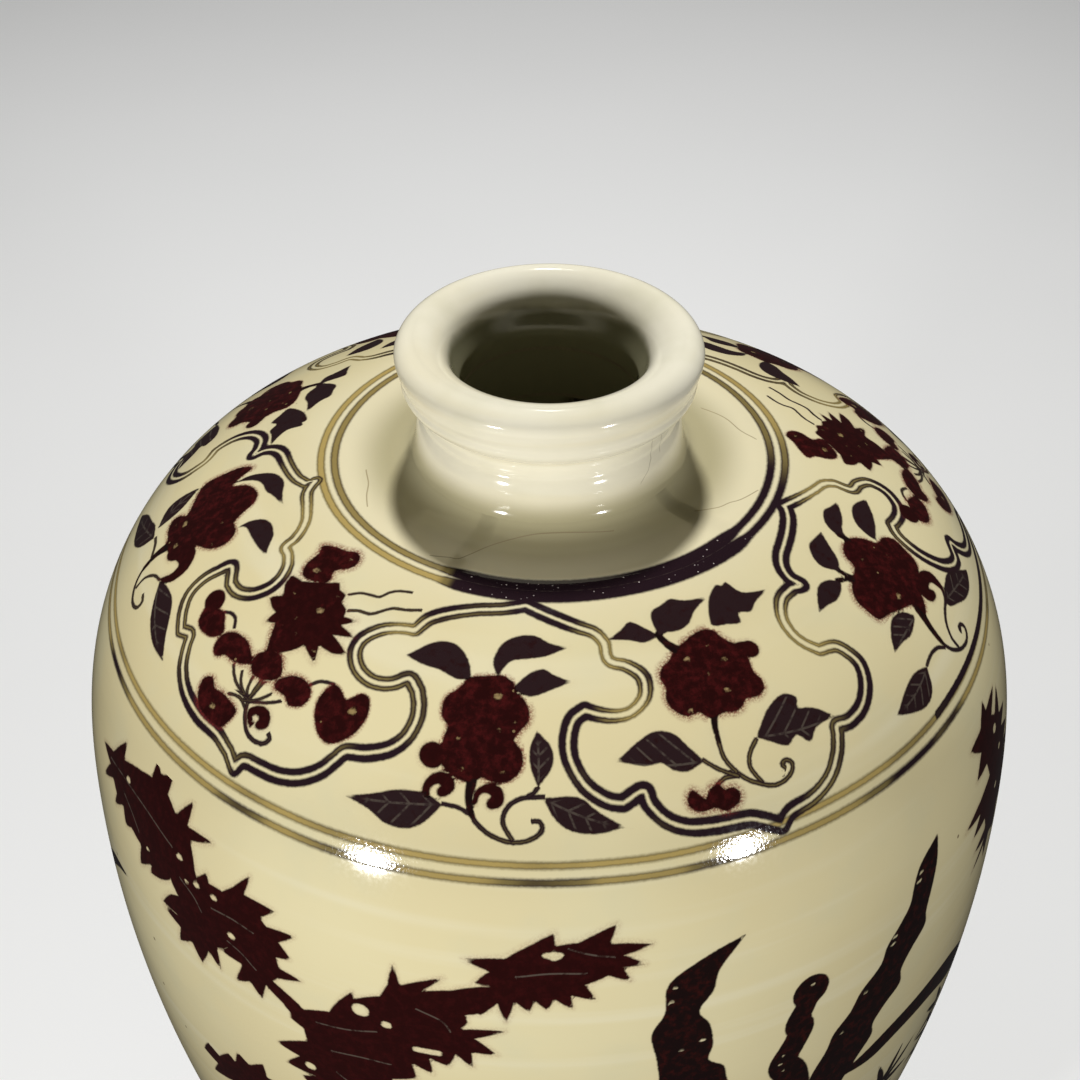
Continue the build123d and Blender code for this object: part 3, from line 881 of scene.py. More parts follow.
lappets = 16
lappet_gap = 2.4
lappet_foot = 414
lappet_side = 374
lappet_shoulder = 361
lappet_tip = 351


def draw_foot(ground):
    """Row of upright lappets above the foot."""
    for i in range(lappets):
        middle = i * 360 / lappets
        half = 360 / lappets / 2 - lappet_gap / 2
        for inset in (0, 2.0):
            wide = half - inset
            left = [
                (-wide, lappet_foot), (-wide, lappet_side), (-wide * 0.75, lappet_shoulder + inset),
            ]
            right = [(-angle, slope) for angle, slope in left[::-1]]
            edge = [*left, (0, lappet_tip + inset * 1.5), *right]
            line(ground, [(middle + angle, slope) for angle, slope in edge], 0.6, 0.8)
        dart(ground, (middle, 402), (middle, 366), 3.2, bough_tone)
        for side in (-1, 1):
            tip = (middle + side * half * 0.62, 380)
            dart(ground, (middle + side, 402), tip, 2.0, bough_tone)


# Mesh of a turned section

def turned_shell(name, under, outer, inner, steps, closed):
    """Closed shell: coarse underside, fine outer skin, coarse inside, joined edge to edge."""
    each = max(1, steps // coarse_steps)
    coarse = steps // each
    chains = [(under, coarse), (outer, steps), (inner, coarse)]
    points, starts = [], []
    for chain, count in chains:
        starts.append(sum(len(p) for p in points))
        angles = np.radians(step_angle(np.arange(count), count))
        ring = np.column_stack([np.sin(angles), -np.cos(angles)])
        for radius, height in chain:
            points.append(np.column_stack([ring * radius, np.full(count, height)]) * millimetre)
    vertices = np.vstack(points)
    faces = []
    for (chain, count), start in zip(chains, starts):
        column = np.arange(count)
        after = (column + 1) % count
        for row in range(len(chain) - 1):
            low, high = start + row * count, start + (row + 1) * count
            faces.extend(
                np.column_stack([low + column, low + after, high + after, high + column]).tolist()
            )
    last_under = starts[0] + (len(under) - 1) * coarse
    last_outer = starts[1] + (len(outer) - 1) * steps
    for c in range(coarse):
        after = (c + 1) % coarse
        fine = [(c * each + k) % steps for k in range(each + 1)]
        faces.append([last_under + c, last_under + after] + [starts[1] + k for k in fine[::-1]])
        faces.append([last_outer + k for k in fine] + [starts[2] + after, starts[2] + c])
        if closed:
            end = starts[2] + (len(inner) - 1) * coarse
            faces.append([end + c, end + after, starts[0] + after, starts[0] + c])
    mesh = bpy.data.meshes.new(name)
    mesh.from_pydata(vertices.tolist(), [], faces)
    mesh.update()
    piece = bpy.data.objects.new(name, mesh)
    bpy.context.scene.collection.objects.link(piece)
    return piece, starts[1]


def store(piece, name, kind, start, values):
    """Keeps what was drawn on the outer skin as a named attribute."""
    mesh = piece.data
    layer = mesh.attributes.new(name, kind, "POINT")
    width = values.shape[-1] if values.ndim == 3 else 1
    whole = np.full((len(mesh.vertices), width), far, np.float32)
    flat = values.reshape(-1, width)
    whole[start : start + len(flat)] = flat
    layer.data.foreach_set("value" if width == 1 else "vector", whole.ravel())


def finish_shell(piece, node, material):
    """Merges the poles, smooths, and gives the piece its body, slot and material."""
    bpy.ops.object.select_all(action="DESELECT")
    piece.select_set(True)
    bpy.context.view_layer.objects.active = piece
    bpy.ops.object.mode_set(mode="EDIT")
    bpy.ops.mesh.select_all(action="SELECT")
    bpy.ops.mesh.remove_doubles(threshold=0.00001)
    bpy.ops.mesh.normals_make_consistent(inside=False)
    bpy.ops.object.mode_set(mode="OBJECT")
    bpy.ops.object.shade_smooth_by_angle(angle=math.radians(35))
    piece.data.materials.append(material)
    if "slope" in piece.data.attributes:
        unroll(piece)
    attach(piece, "root")
    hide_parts(node)


def read(sequence, name, kind, width=1):
    """One property of every vertex, corner or face, as an array."""
    values = np.empty(len(sequence) * width, kind)
    sequence.foreach_get(name, values)
    return values.reshape(-1, width) if width > 1 else values


def unroll(piece):
    """Lays the outer skin out flat: its turn is cut into strips, one over the other."""
    mesh = piece.data
    spots = read(mesh.vertices, "co", np.float32, 3)
    slope = read(mesh.attributes["slope"].data, "value", np.float32)
    corners = read(mesh.loops, "vertex_index", np.int32)
    sizes = read(mesh.polygons, "loop_total", np.int32)
    owner = np.repeat(np.arange(len(sizes)), sizes)
    turn = (np.degrees(np.arctan2(spots[:, 0], -spots[:, 1])) + 180)[corners]
    first = turn[np.cumsum(sizes) - sizes][owner]
    turn = first + (turn - first + 180) % 360 - 180
    middle = np.bincount(owner, turn) / sizes
    turn -= (np.floor(middle / 360) * 360)[owner]
    strip = np.floor(middle % 360 * strips / 360)[owner]
    outside = slope != far
    skin = np.bincount(owner, outside[corners]) == sizes
    low, high = slope[outside].min(), slope[outside].max()
    down = (slope[corners] - low) / (high - low)
    reach = np.hypot(spots[:, 0], spots[:, 1])[corners]
    climb = spots[corners, 2]
    back = 0.4 * reach / reach.max() + 0.5 * (climb - climb.min()) / np.ptp(climb)
    across = np.where(skin[owner], turn * strips / 360 - strip, turn / 360)
    rise = np.where(skin[owner], strip + 0.02 + 0.96 * down, strips + 0.04 + back) / (strips + 1)
    layer = mesh.uv_layers.new(name="OFBake")
    layer.data.foreach_set("uv", np.column_stack([0.01 + 0.98 * across, rise]).ravel())


def joint_frame(share):
    """Place on the outline, way along it and way into the wall, at a share of its length."""
    at = share * outline_length
    here, ahead, behind = spots_at(outline, [at, at + 0.5, at - 0.5])
    way = ahead - behind
    way /= np.hypot(*way)
    return here, way, np.array([-way[1], way[0]])


def lapped_edge(share, side):
    """Edge of a section at a joint: the glaze laps halfway over the slip, then steps back."""
    here, way, into = joint_frame(share)
    back = way * side * slip_thickness / 2
    return [here + into * glaze_lap, here + into * glaze_lap + back,
            here + into * wall_thickness + back]


def inner_part(low, high, spacing):
    """Inside of the wall from one share of the outline's length down to another."""
    points = outline_part(low, high, spacing)
    return (points + inward(points) * wall_thickness)[::-1]


def slopes_between(low, high, count):
    """Slopes from the neck's root of evenly spaced places on the outline."""
    return outline_length - np.linspace(low, high, count) * outline_length


def painted_section(node, under, outer, inner, slope, draws, closed=True):
    """Section whose skin is drawn on; it keeps every field that the glaze reads."""
    piece, start = turned_shell(node + "_glazed", under, outer, inner, body_steps, closed)
    ground = Ground(outer, slope)
    for draw in draws:
        draw(ground)
    wide = np.broadcast_to(slope[:, None], ground.wash.shape)
    store(piece, "slope", "FLOAT", start, np.ascontiguousarray(wide))
    collar = np.stack([ground.collar, ground.heavy, ground.heavy], -1)
    store(piece, "collar", "FLOAT_VECTOR", start, collar)
    wash = np.stack([ground.wash, ground.tone, ground.spark], -1)
    store(piece, "wash", "FLOAT_VECTOR", start, wash)
    for name in ("vein", *stroke_fields):
        store(piece, name, "FLOAT_VECTOR", start, getattr(ground, name))
    finish_shell(piece, node, painted)


def make_body_section(node, low, high, draws):
    """Section of the body between two joints."""
    outer = outline_part(low, high, body_rows)
    under = lapped_edge(low, 1)[::-1]
    inner = np.vstack([lapped_edge(high, -1), inner_part(low, high, inner_rows)[1:-1]])
    painted_section(node, under, outer, inner, slopes_between(low, high, len(outer)), draws)


# Material helpers

class Term:
    """Output of a node; sums, differences and products of terms become maths nodes."""

    def __init__(self, socket):
        self.socket = socket
        self.tree = socket.id_data

    def __add__(self, other):
        return maths("ADD", self, other)

    def __radd__(self, other):
        return maths("ADD", other, self)

    def __sub__(self, other):
        return maths("SUBTRACT", self, other)

    def __rsub__(self, other):
        return maths("SUBTRACT", other, self)

    def __mul__(self, other):
        return maths("MULTIPLY", self, other)

    def __abs__(self):
        return maths("ABSOLUTE", self)


def feed(socket, term):
    """Links a term to a socket, or sets the socket's value."""
    if isinstance(term, Term):
        term.tree.links.new(term.socket, socket)
    elif socket.type == "RGBA":
        socket.default_value = (*term, 1)
    else:
        socket.default_value = term


def fed_node(tree, kind, inputs, **settings):
    """Node with its settings, and with inputs fed by name or number."""
    node = tree.nodes.new(kind)
    for name, setting in settings.items():
        setattr(node, name, setting)
    for key, term in inputs.items():
        feed(node.inputs[key], term)
    return node


def maths(operation, *terms):
    """Maths node."""
    tree = next(term.tree for term in terms if isinstance(term, Term))
    node = fed_node(tree, "ShaderNodeMath", dict(enumerate(terms)), operation=operation)
    return Term(node.outputs[0])


def ease(value, low, high, start=0.0, end=1.0):
    """Smooth change from start to end while the value goes from low to high."""
    inputs = {"Value": value, "From Min": low, "From Max": high, "To Min": start, "To Max": end}
    node = fed_node(value.tree, "ShaderNodeMapRange", inputs, interpolation_type="SMOOTHSTEP")
    return Term(node.outputs[0])


def blend(share, first, second):
    """Mix of two colours."""
    inputs = {0: share, 6: first, 7: second}
    return Term(fed_node(share.tree, "ShaderNodeMix", inputs, data_type="RGBA").outputs[2])


def noise(place, scale, detail=2, rough=0.5):
    """Noise over a place, as a value about 0.5."""
    inputs = {"Vector": place, "Scale": scale, "Detail": detail, "Roughness": rough}
    return Term(fed_node(place.tree, "ShaderNodeTexNoise", inputs).outputs["Fac"])


def stretched(place, scale, rotation=(0, 0, 0)):
    """Place with its axes scaled, for drawn-out noise."""
    inputs = {"Vector": place, "Scale": scale, "Rotation": rotation}
    return Term(fed_node(place.tree, "ShaderNodeMapping", inputs).outputs[0])


def parts_of(vector):
    """Three parts of a vector."""
    node = fed_node(vector.tree, "ShaderNodeSeparateXYZ", {0: vector})
    return [Term(socket) for socket in node.outputs]


def from_axis(x, y):
    """Distance from the vase's axis."""
    return maths("SQRT", x * x + y * y)


def kept(place, name):
    """Field of the brushwork that the mesh keeps."""
    return fed_node(place.tree, "ShaderNodeAttribute", {}, attribute_name=name).outputs


def kept_parts(place, name):
    """Three parts of a kept vector field."""
    return parts_of(Term(kept(place, name)["Vector"]))


def add_bump(inputs, strength, distance, height):
    """Bump from a height, on a shader's own inputs."""
    heights = {"Strength": strength, "Distance": distance, "Height": height}
    feed(inputs["Normal"], Term(fed_node(height.tree, "ShaderNodeBump", heights).outputs[0]))


ivory = (0.735, 0.655, 0.395)
warm_ivory = (0.70, 0.605, 0.345)
grey_ivory = (0.63, 0.60, 0.40)
neck_ivory = (0.90, 0.86, 0.71)
neck_cream = (0.87, 0.815, 0.63)
shoulder_cream = (0.76, 0.695, 0.49)
# olive inside the throat: partly thinner glaze, partly painted shade where little light reaches
throat_glaze_and_shade_olive = (0.27, 0.255, 0.155)
# olive of glaze pooled in the neck's root, darkened further as painted shade in that crease
pooled_glaze_and_shade_olive = (0.43, 0.385, 0.23)
purple_black = (0.018, 0.0085, 0.012)
dark_maroon = (0.019, 0.0030, 0.0028)
deep_red = (0.060, 0.0065, 0.0065)
halo_red = (0.17, 0.022, 0.018)
pale_fleck = (0.50, 0.36, 0.20)
blade_black = (0.0095, 0.0042, 0.0040)
ochre = (0.43, 0.315, 0.105)
olive = (0.19, 0.145, 0.052)
leaf_grey = (0.022, 0.0105, 0.0115)
vein_grey = (0.105, 0.085, 0.066)
crack_brown = (0.30, 0.235, 0.13)
streak_cream = (0.80, 0.75, 0.55)
pooled_cream = (0.80, 0.72, 0.49)
iron_brown = (0.14, 0.09, 0.05)
iron_black = (0.010, 0.003, 0.003)
# painted glints on the front of the neck band
painted_glint_white = (0.70, 0.62, 0.58)
gold_fleck = (0.40, 0.30, 0.09)
blade_red = (0.035, 0.006, 0.005)
dark_clay = (0.62, 0.50, 0.36)
pale_clay = (0.70, 0.60, 0.46)


def new_material(name):
    """Material, the inputs of its surface shader, and the place on the piece."""
    material = bpy.data.materials.new(name)
    material.use_nodes = True
    tree = material.node_tree
    place = Term(tree.nodes.new("ShaderNodeTexCoord").outputs["Object"])
    return material, tree.nodes["Principled BSDF"].inputs, place


def specks(place, scale, chance, size):
    """Round specks of one size, scattered at random."""
    cells = fed_node(place.tree, "ShaderNodeTexVoronoi", {"Scale": scale, "Vector": place}).outputs
    chosen = parts_of(Term(cells["Color"]))[0]
    dot = ease(Term(cells["Distance"]), size, size * 1.7, 1, 0)
    return dot * ease(chosen, chance, chance + 0.004)


def glaze_colour(place, first, second, specked):
    """Pale glaze: cloudy, with faint throwing marks, and with iron specks where asked."""
    colour = blend(ease(noise(place, 9, 3), 0.35, 0.68), first, second)
    colour = blend(ease(noise(place, 60, 3), 0.45, 0.8, 0, 0.3), colour, grey_ivory)
    marks = noise(stretched(place, (5, 5, 130), (0.06, 0.03, 0)), 1, 3)
    colour = blend(ease(marks, 0.52, 0.75, 0, 0.35), colour, streak_cream)
    for scale, chance, size in ((170, 0.975, 0.07), (90, 0.98, 0.05)) if specked else ():
        colour = blend(specks(place, scale, chance, size) * 0.8, colour, iron_brown)
    return colour


def crack(place, turn, low, high, lean):
    """Hair crack that climbs from one height to another at a turn from the front."""
    x, y, z = parts_of(place)
    angle = maths("ARCTAN2", x, y * -1)
    sway = (noise(place, 150) - 0.5) * 0.12
    away = abs(angle - turn - (z - low) * lean + sway)
    tall = ease(z, low, low + 0.001) * ease(z, high - 0.001, high, 1, 0)
    return ease(away, 0.0025, 0.007, 1, 0) * tall


def plain_glaze():
    """Glossy ivory glaze with no brushwork, but with painted shade in the neck's root and in the
    throat.
    """
    material, inputs, place = new_material("ivory_glaze")
    colour = glaze_colour(place, neck_ivory, neck_cream, False)
    pooled = noise(stretched(place, (14, 14, 160)), 1, 3)
    colour = blend(ease(pooled, 0.5, 0.72, 0, 0.5), colour, pooled_cream)
    x, y, z = parts_of(place)
    colour = blend(ease(z, 0.388, 0.3764), colour, shoulder_cream)
    # The neck's root: glaze pooled there, darkened further as painted shade in the crease
    colour = blend(ease(z, 0.383, 0.3764), colour, pooled_glaze_and_shade_olive)
    # Deep in the throat the glaze is painted darker: partly thinner glaze, partly painted shade
    edge = (noise(place, 70) - 0.5) * 0.002
    colour = blend(ease(from_axis(x, y) + edge, 0.0266, 0.0252), colour, throat_glaze_and_shade_olive)
    for turn, low, high, lean in ((0.72, 0.381, 0.3925, 22), (0.95, 0.386, 0.394, 26),
                                  (2.6, 0.38, 0.39, 30)):
        colour = blend(crack(place, turn, low, high, lean) * 0.5, colour, crack_brown)
    feed(inputs["Base Color"], colour)
    gloss_and_bump(inputs, place)
    return material


def gloss_and_bump(inputs, place, heavy=None, ridge=None):
    """Gloss of the glaze, its unevenness and, on heavy pigment, its sparkle and its height."""
    inputs["IOR"].default_value = 1.5
    height = noise(place, 45) * 0.5 + noise(stretched(place, (3, 3, 140)), 1) * 0.25
    if heavy:
        height = height + noise(place, 1400, 1) * heavy * 0.25 + ridge
    feed(inputs["Roughness"], ease(noise(place, 900), 0.3, 0.7, 0.07, 0.12))
    add_bump(inputs, 0.35, 0.0006, height)


def beyond(value, middle, half):
    """How far a value lies outside a stroke, in millimetres."""
    return abs(value - middle) - half


def leaf_veins(place, wash):
    """Pale spine and ribs of the leaves."""
    along, across, length = kept_parts(place, "vein")
    across = abs(across)
    spine = ease(across * length, 0.12, 0.42, 1, 0)
    off = abs(maths("FRACT", (along - across) * 4.6) - 0.5)
    rib = ease(off * (length * 0.15), 0.1, 0.4, 1, 0) * ease(wash, -0.5, -1.3)
    ribs = maths("MAXIMUM", spine, rib) * ease(length, 1, 4)
    return ribs * (ease(along, 0.06, 0.14) * ease(along, 0.72, 0.86, 1, 0))


def painted_glaze():
    """Ivory glaze over brushwork in red and iron black."""
    material, inputs, place = new_material("painted_glaze")
    x, y, z = parts_of(place)
    distance = from_axis(x, y)
    slope = Term(kept(place, "slope")["Fac"])
    collar, weight, _ = kept_parts(place, "collar")
    wash, wash_tone, spark_edge = kept_parts(place, "wash")

    slow = noise(place, 26)
    ragged = noise(place, 900, 3, 0.6) - 0.5
    grainy = noise(place, 1900, 2, 0.6)
    patchy = noise(place, 430, 4, 0.65)
    colour = glaze_colour(place, ivory, warm_ivory, True)
    colour = blend(ease(slope, 34, 0, 0, 0.8), colour, shoulder_cream)
    colour = blend(ease(slope, 0, -10), colour, shoulder_cream)
    # The neck's root on the shoulder: pooled glaze, darkened further as painted shade in the crease
    colour = blend(ease(slope, 9, -4), colour, pooled_glaze_and_shade_olive)
    # The throat inside the shoulder is painted darker: partly thinner glaze, partly painted shade
    inside = ease(distance, 0.0330, 0.0325) * ease(z, 0.3, 0.31)
    colour = blend(inside, colour, throat_glaze_and_shade_olive)

    def stroke(edge, softness):
        """Share of pigment from the distance outside a stroke's edge."""
        return ease(edge + ragged * 0.4, softness, -softness)

    def paint(under, edge, darkness, softness):
        """Thin stroke: ochre where it ran dry, purple black where it lies heavy."""
        rim = ease(edge + ragged * 0.5, -0.75, -0.25)
        dry = blend(rim, ochre, olive)
        middling = blend(rim, olive, leaf_grey)
        first = blend(ease(darkness, 0.05, 0.45), dry, middling)
        second = blend(ease(darkness, 0.45, 0.8), first, purple_black)
        return blend(stroke(edge, softness), under, second)

    # Rings: at the neck heavy and merged in front, at the shoulder thin and ochre
    wandering = slope + (noise(place, 14) - 0.5) * 1.2
    round_angle = maths("ARCTAN2", x, y * -1)
    merged = ease(maths("COSINE", round_angle - 0.24), 0.74, 0.83)
    neck_slope = wandering - x * 16
    neck_half = 1.15 + merged * 0.95
    fading = ease(abs(round_angle), 1.1, 1.9, 1, 0.15)
    neck_dark = maths("MAXIMUM", merged, ease(round_angle, -0.6, 0.7) * fading)
    for middle, gain, least in ((15.7, 0.9, 0.02), (12, 0.75, 0.28)):
        tone = neck_dark * gain + least
        colour = paint(colour, beyond(neck_slope, middle, neck_half), tone, 0.45)
    band = merged * stroke(beyond(neck_slope, 14, 3), 0.3)
    # Painted glints: pale specks on the front of the neck band, where the overhead lamp sparkles
    painted_glints = specks(place, 800, 0.5, 0.12) * band * ease(patchy, 0.42, 0.56)
    colour = blend(painted_glints * 0.75, colour, painted_glint_white)
    low_slope = wandering + x * 7
    uneven_tone = ease(slow, 0.46, 0.66)
    for middle, tone in ((84.4, 0.02), (284, 0.1), (342, 0.1)):
        tone_here = tone + uneven_tone * 0.26
        colour = paint(colour, beyond(low_slope, middle, 1), tone_here, 0.6)
        tone_here = tone + 0.14 + uneven_tone * 0.62
        colour = paint(colour, beyond(low_slope, middle + 4.2, 1.05), tone_here, 0.6)

    # Collar: two strokes side by side, wider and darker where the brush was full
    full = weight * ease(slow, 0.34, 0.6, 0.45, 1)
    collar_edge = beyond(abs(collar), 1.12 + full * 0.28, 0.52 + full * 0.5)
    colour = paint(colour, collar_edge, full * 1.05, 0.35)

    # Thin strokes in their three layers, hair cracks and scratched lines
    fullness = parts_of(blend(ease(slow, 0.4, 0.62), (1, 1, 1), (0.78, 0.78, 0.78)))[0]
    scratch = 0.0
    for side, out, tone, half in zip(*[kept_parts(place, name) for name in stroke_fields]):
        edge = maths("MAXIMUM", abs(side) - half, out)
        is_line = ease(tone, -0.4, -0.1) * ease(tone, 1.1, 1.4, 1, 0)
        colour = paint(colour, edge + (1 - is_line) * 9, tone * fullness, 0.28)
        hair = ease(edge, -0.05, 0.12, 1, 0) * ease(tone, 1.4, 1.8, 0, 0.75)
        colour = blend(hair, colour, crack_brown)
        scratched = ease(edge, -0.12, 0.16, 1, 0) * ease(tone, -0.5, -0.8)
        scratch = maths("MAXIMUM", scratch, scratched)

    # Washes: blooms bleed red into the glaze round them, leaves are grey with pale veins
    is_bloom = ease(wash_tone, 0.15, 0.3, 1, 0)
    is_blade = ease(wash_tone, 0.45, 0.55)
    is_leaf = ease(wash_tone, 0.8, 0.95)
    spread = ease(wash, ease(slow, 0.35, 0.62, 0.7, 2.1), -0.2)
    bleed = spread * ease(grainy, 0.36, 0.62, 0.25, 1)
    red_here = (1 - is_blade * 0.85) * (0.3 + is_bloom * 0.6)
    colour = blend(bleed * red_here, colour, halo_red)
    bright = (0.35 + is_bloom * 0.65) * ease(patchy, 0.40, 0.78)
    red = blend(bright, dark_maroon, deep_red)
    red = blend(ease(grainy, 0.6, 0.72, 0, 0.5), red, iron_black)
    fleck = ease(spark_edge + ragged * 1.6, 0.1, -0.7, 0, 0.65)
    dots = specks(place, 260, 0.8, 0.07) * (is_bloom * 0.4)
    red = blend(maths("MAXIMUM", fleck, dots), red, blend(slow, gold_fleck, pale_fleck))
    blade_colour = blend(ease(patchy, 0.45, 0.75), blade_black, blade_red)
    leaf_colour = blend(ease(patchy, 0.5, 0.75, 0, 0.7), leaf_grey, dark_maroon)
    dabs = blend(is_leaf, blend(is_blade, red, blade_colour), leaf_colour)
    filled = stroke(wash, 0.3)
    colour = blend(filled, colour, dabs)
    scratch = maths("MAXIMUM", scratch, leaf_veins(place, wash) * (is_leaf * 0.8))
    scratch = scratch * ease(patchy, 0.35, 0.55, 0.1, 0.75)
    colour = blend(scratch * filled, colour, vein_grey)

    # Bare clay under the foot ring, outside the glazed recess
    low = ease(z + ragged * 0.0006, 0.0016, 0.0010)
    clay = blend(patchy, dark_clay, pale_clay)
    colour = blend(low * ease(distance, 0.0600, 0.0608), colour, clay)

    feed(inputs["Base Color"], colour)
    thick = stroke(beyond(low_slope, 86.5, 3), 0.3) * 0.6
    raised = maths("MAXIMUM", band * 0.9, thick)
    ridge = ease(neck_slope, 8.4, 19.6, 1, 0) * merged * 8.5
    gloss_and_bump(inputs, place, maths("MAXIMUM", filled * 0.7, raised), ridge)
    return material


def slip(name, first, second):
    """Fired slip in the joints: matt and slightly gritty."""
    material, inputs, place = new_material(name)
    feed(inputs["Base Color"], blend(noise(place, 400, 3), first, second))
    inputs["Roughness"].default_value = 0.6
    add_bump(inputs, 0.5, 0.0003, noise(place, 700, 3))
    return material


painted = painted_glaze()
ivory_only = plain_glaze()
slip_material = slip("fired_slip", (0.66, 0.60, 0.44), (0.74, 0.68, 0.52))
# The slip in the throat is painted as dark as the painted shade there
shaded_throat_slip = slip("shaded_throat_slip", (0.22, 0.185, 0.11), (0.28, 0.235, 0.14))


# The sections

def make_foot_section():
    """Foot section: trimmed foot ring, recessed base, floor and the lowest of the wall."""
    outer = outline_part(0, foot_joint_share, body_rows)
    under = np.array([
        (0, recess_depth - base_sag), (recess_radius - 20, recess_depth - base_sag * 0.4),
        (recess_radius - 0.6, recess_depth), (recess_radius + 0.3, recess_depth - 1.2),
        (ring_inner_radius - 0.4, 0.6), (ring_inner_radius + 0.6, 0.0),
        (foot_radius - foot_bevel - 0.6, 0.0), (foot_radius - foot_bevel + 0.5, 0.35),
        (foot_radius - 0.25, foot_bevel - 0.4),
    ])
    wall = inner_part(floor_corner_share, foot_joint_share, inner_rows)[1:]
    centre = foot_radius - wall_thickness - floor_corner_radius
    turns = np.radians(np.arange(10, 91, 10))
    corner = np.column_stack([
        centre + floor_corner_radius * np.cos(turns),
        floor_height + floor_corner_radius - floor_corner_radius * np.sin(turns),
    ])
    inner = np.vstack([lapped_edge(foot_joint_share, -1), wall, corner, [(0, floor_height)]])
    slope = slopes_between(0, foot_joint_share, len(outer))
    painted_section("foot_section", under, outer, inner, slope, [draw_foot], False)


def make_shoulder():
    """Shoulder: the painted dome, with the foot of the neck on it."""
    low = shoulder_joint_share
    dome = outline_part(low, 1, dome_rows)
    flare = neck_outline[neck_outline[:, 1] < neck_joint_height]
    flare = even(np.vstack([flare, neck_foot]), dome_rows)[1:]
    outer = np.vstack([dome, flare])
    climb = lengths_along(np.vstack([dome[-1:], flare]))[1:]
    slope = np.r_[slopes_between(low, 1, len(dome)), -climb]
    lap = outer[-1, 0] - glaze_lap
    under_slip = neck_joint_height - slip_thickness / 2
    over = [(lap, neck_joint_height), (lap, under_slip), (throat_radius, under_slip)]
    inner = np.vstack([over, throat_bend(), inner_part(low, 1, dome_inner_rows)[:-1]])
    under = lapped_edge(low, 1)[::-1]
    painted_section("shoulder", under, outer, inner, slope, [draw_collar, draw_sprays])


def throat_bend():
    """Bend from the throat out under the shoulder."""
    base = shoulder_height - wall_thickness
    turns = np.radians(np.arange(0, 91, 15))
    return np.column_stack([
        throat_radius + throat_bend_radius * (1 - np.cos(turns)),
        base + throat_bend_radius * (1 - np.sin(turns)),
    ])


neck_joint_height = shoulder_height + neck_height * neck_joint_share
waist_height = shoulder_height + neck_height * neck_waist_share

# Outlines, as (radius, height): the neck's root turns in tightly and its foot swells a little;
# the rim is a large roll over a small one, and inside it narrows like a funnel
neck_outline = smooth_curve(
    np.array([
        (46, 373.3), (43, 373.5), (40.2, 373.9), (38.2, 374.7), (36.8, 375.9), (35.9, 377.5),
        (35.4, 379.4), (35.15, 381.4), (35.05, 383.2), (34.75, 385), (34.1, 386.8),
        (33.65, 387.9), (33.7, 388.7), (33.45, 389.6), (33.3, 390.4), (33.3, waist_height),
    ]),
    (-1, 0), (0, 1), neck_points,
)
rim_outline = smooth_curve(
    np.array([
        (33.3, waist_height), (33.6, 392.3), (34.7, 393.3), (36.3, 394.4), (37.7, 395.6),
        (38.45, 396.9), (38.65, 398.1), (38.6, 399.1), (38.85, 400.2), (39.25, 401.4),
        (39.5, 402.5), (39.8, 403.6), (40.05, 404.6), (40.1, 405.5), (39.5, 407.2), (38.1, 408.8),
        (36.5, 409.7), (34.6, 410), (33, 409.65), (31.4, 409), (29.8, 408.1), (28.3, 407),
        (27, 405.5), (26, 403.5), (25.1, 401), (24.2, 398.7), (throat_radius, throat_land_top),
    ]),
    (0, 1), (-0.3, -1), rim_points,
)
neck_foot = (
    float(np.interp(neck_joint_height, neck_outline[:, 1], neck_outline[:, 0])),
    neck_joint_height,
)
waist = rim_outline[0]


def make_neck():
    """Neck: short, with a soft swelling at its foot, and the straight throat inside."""
    top = neck_outline[neck_outline[:, 1] > neck_joint_height]
    outer = even(np.vstack([neck_foot, top]), neck_rows)
    low = neck_joint_height + slip_thickness / 2
    high = waist[1] - slip_thickness / 2
    foot_lap, waist_lap = outer[0, 0] - glaze_lap, waist[0] - glaze_lap
    under = [(throat_radius, low), (foot_lap, low), (foot_lap, neck_joint_height)]
    inner = [(waist_lap, waist[1]), (waist_lap, high), (throat_radius, high),
             (throat_radius, (low + high) / 2)]
    piece, _ = turned_shell("neck_glazed", under, outer, inner, neck_steps, True)
    finish_shell(piece, "neck", ivory_only)


def make_mouth_rim():
    """Mouth rim: the thick rolled lip, funnelling into the throat."""
    outer = even(rim_outline, rim_rows)
    low, lap = waist[1] + slip_thickness / 2, waist[0] - glaze_lap
    under = [(throat_radius, low), (lap, low), (lap, waist[1])]
    inner = [(throat_radius, throat_land_top - 1.5), (throat_radius, low + 1.0)]
    piece, _ = turned_shell("mouth_rim_glazed", under, outer, inner, neck_steps, True)
    finish_shell(piece, "mouth_rim", ivory_only)


def make_seam(node, share):
    """Slip in a joint of the body, squeezed out as a bead inside."""
    here, way, into = joint_frame(share)
    half = slip_thickness / 2
    bead = [
        here + into * (wall_thickness + slip_bead_radius * math.cos(turn))
        + way * slip_bead_radius * math.sin(turn)
        for turn in np.radians(np.arange(70, -71, -20))
    ]
    skin = here + into * (glaze_lap + seam_sink)
    deep = here + into * wall_thickness
    outer = [skin - way * half, skin + way * half]
    under = [deep - way * half, outer[0] + into * seam_edge]
    inner = [outer[1] + into * seam_edge, deep + way * half, *bead]
    piece, _ = turned_shell(node + "_slip", under, outer, inner, seam_steps, True)
    finish_shell(piece, node, slip_material)


def make_throat_seam(node, radius, height):
    """Slip in a joint of the neck, wiped flush in the throat."""
    low, high = height - slip_thickness / 2, height + slip_thickness / 2
    skin = radius - glaze_lap - seam_sink
    outer = [(skin, low), (skin, high)]
    under = [(throat_radius, low), (skin - seam_edge, low)]
    inner = [(skin - seam_edge, high), (throat_radius, high)]
    piece, _ = turned_shell(node + "_slip", under, outer, inner, seam_steps, True)
    finish_shell(piece, node, shaded_throat_slip)


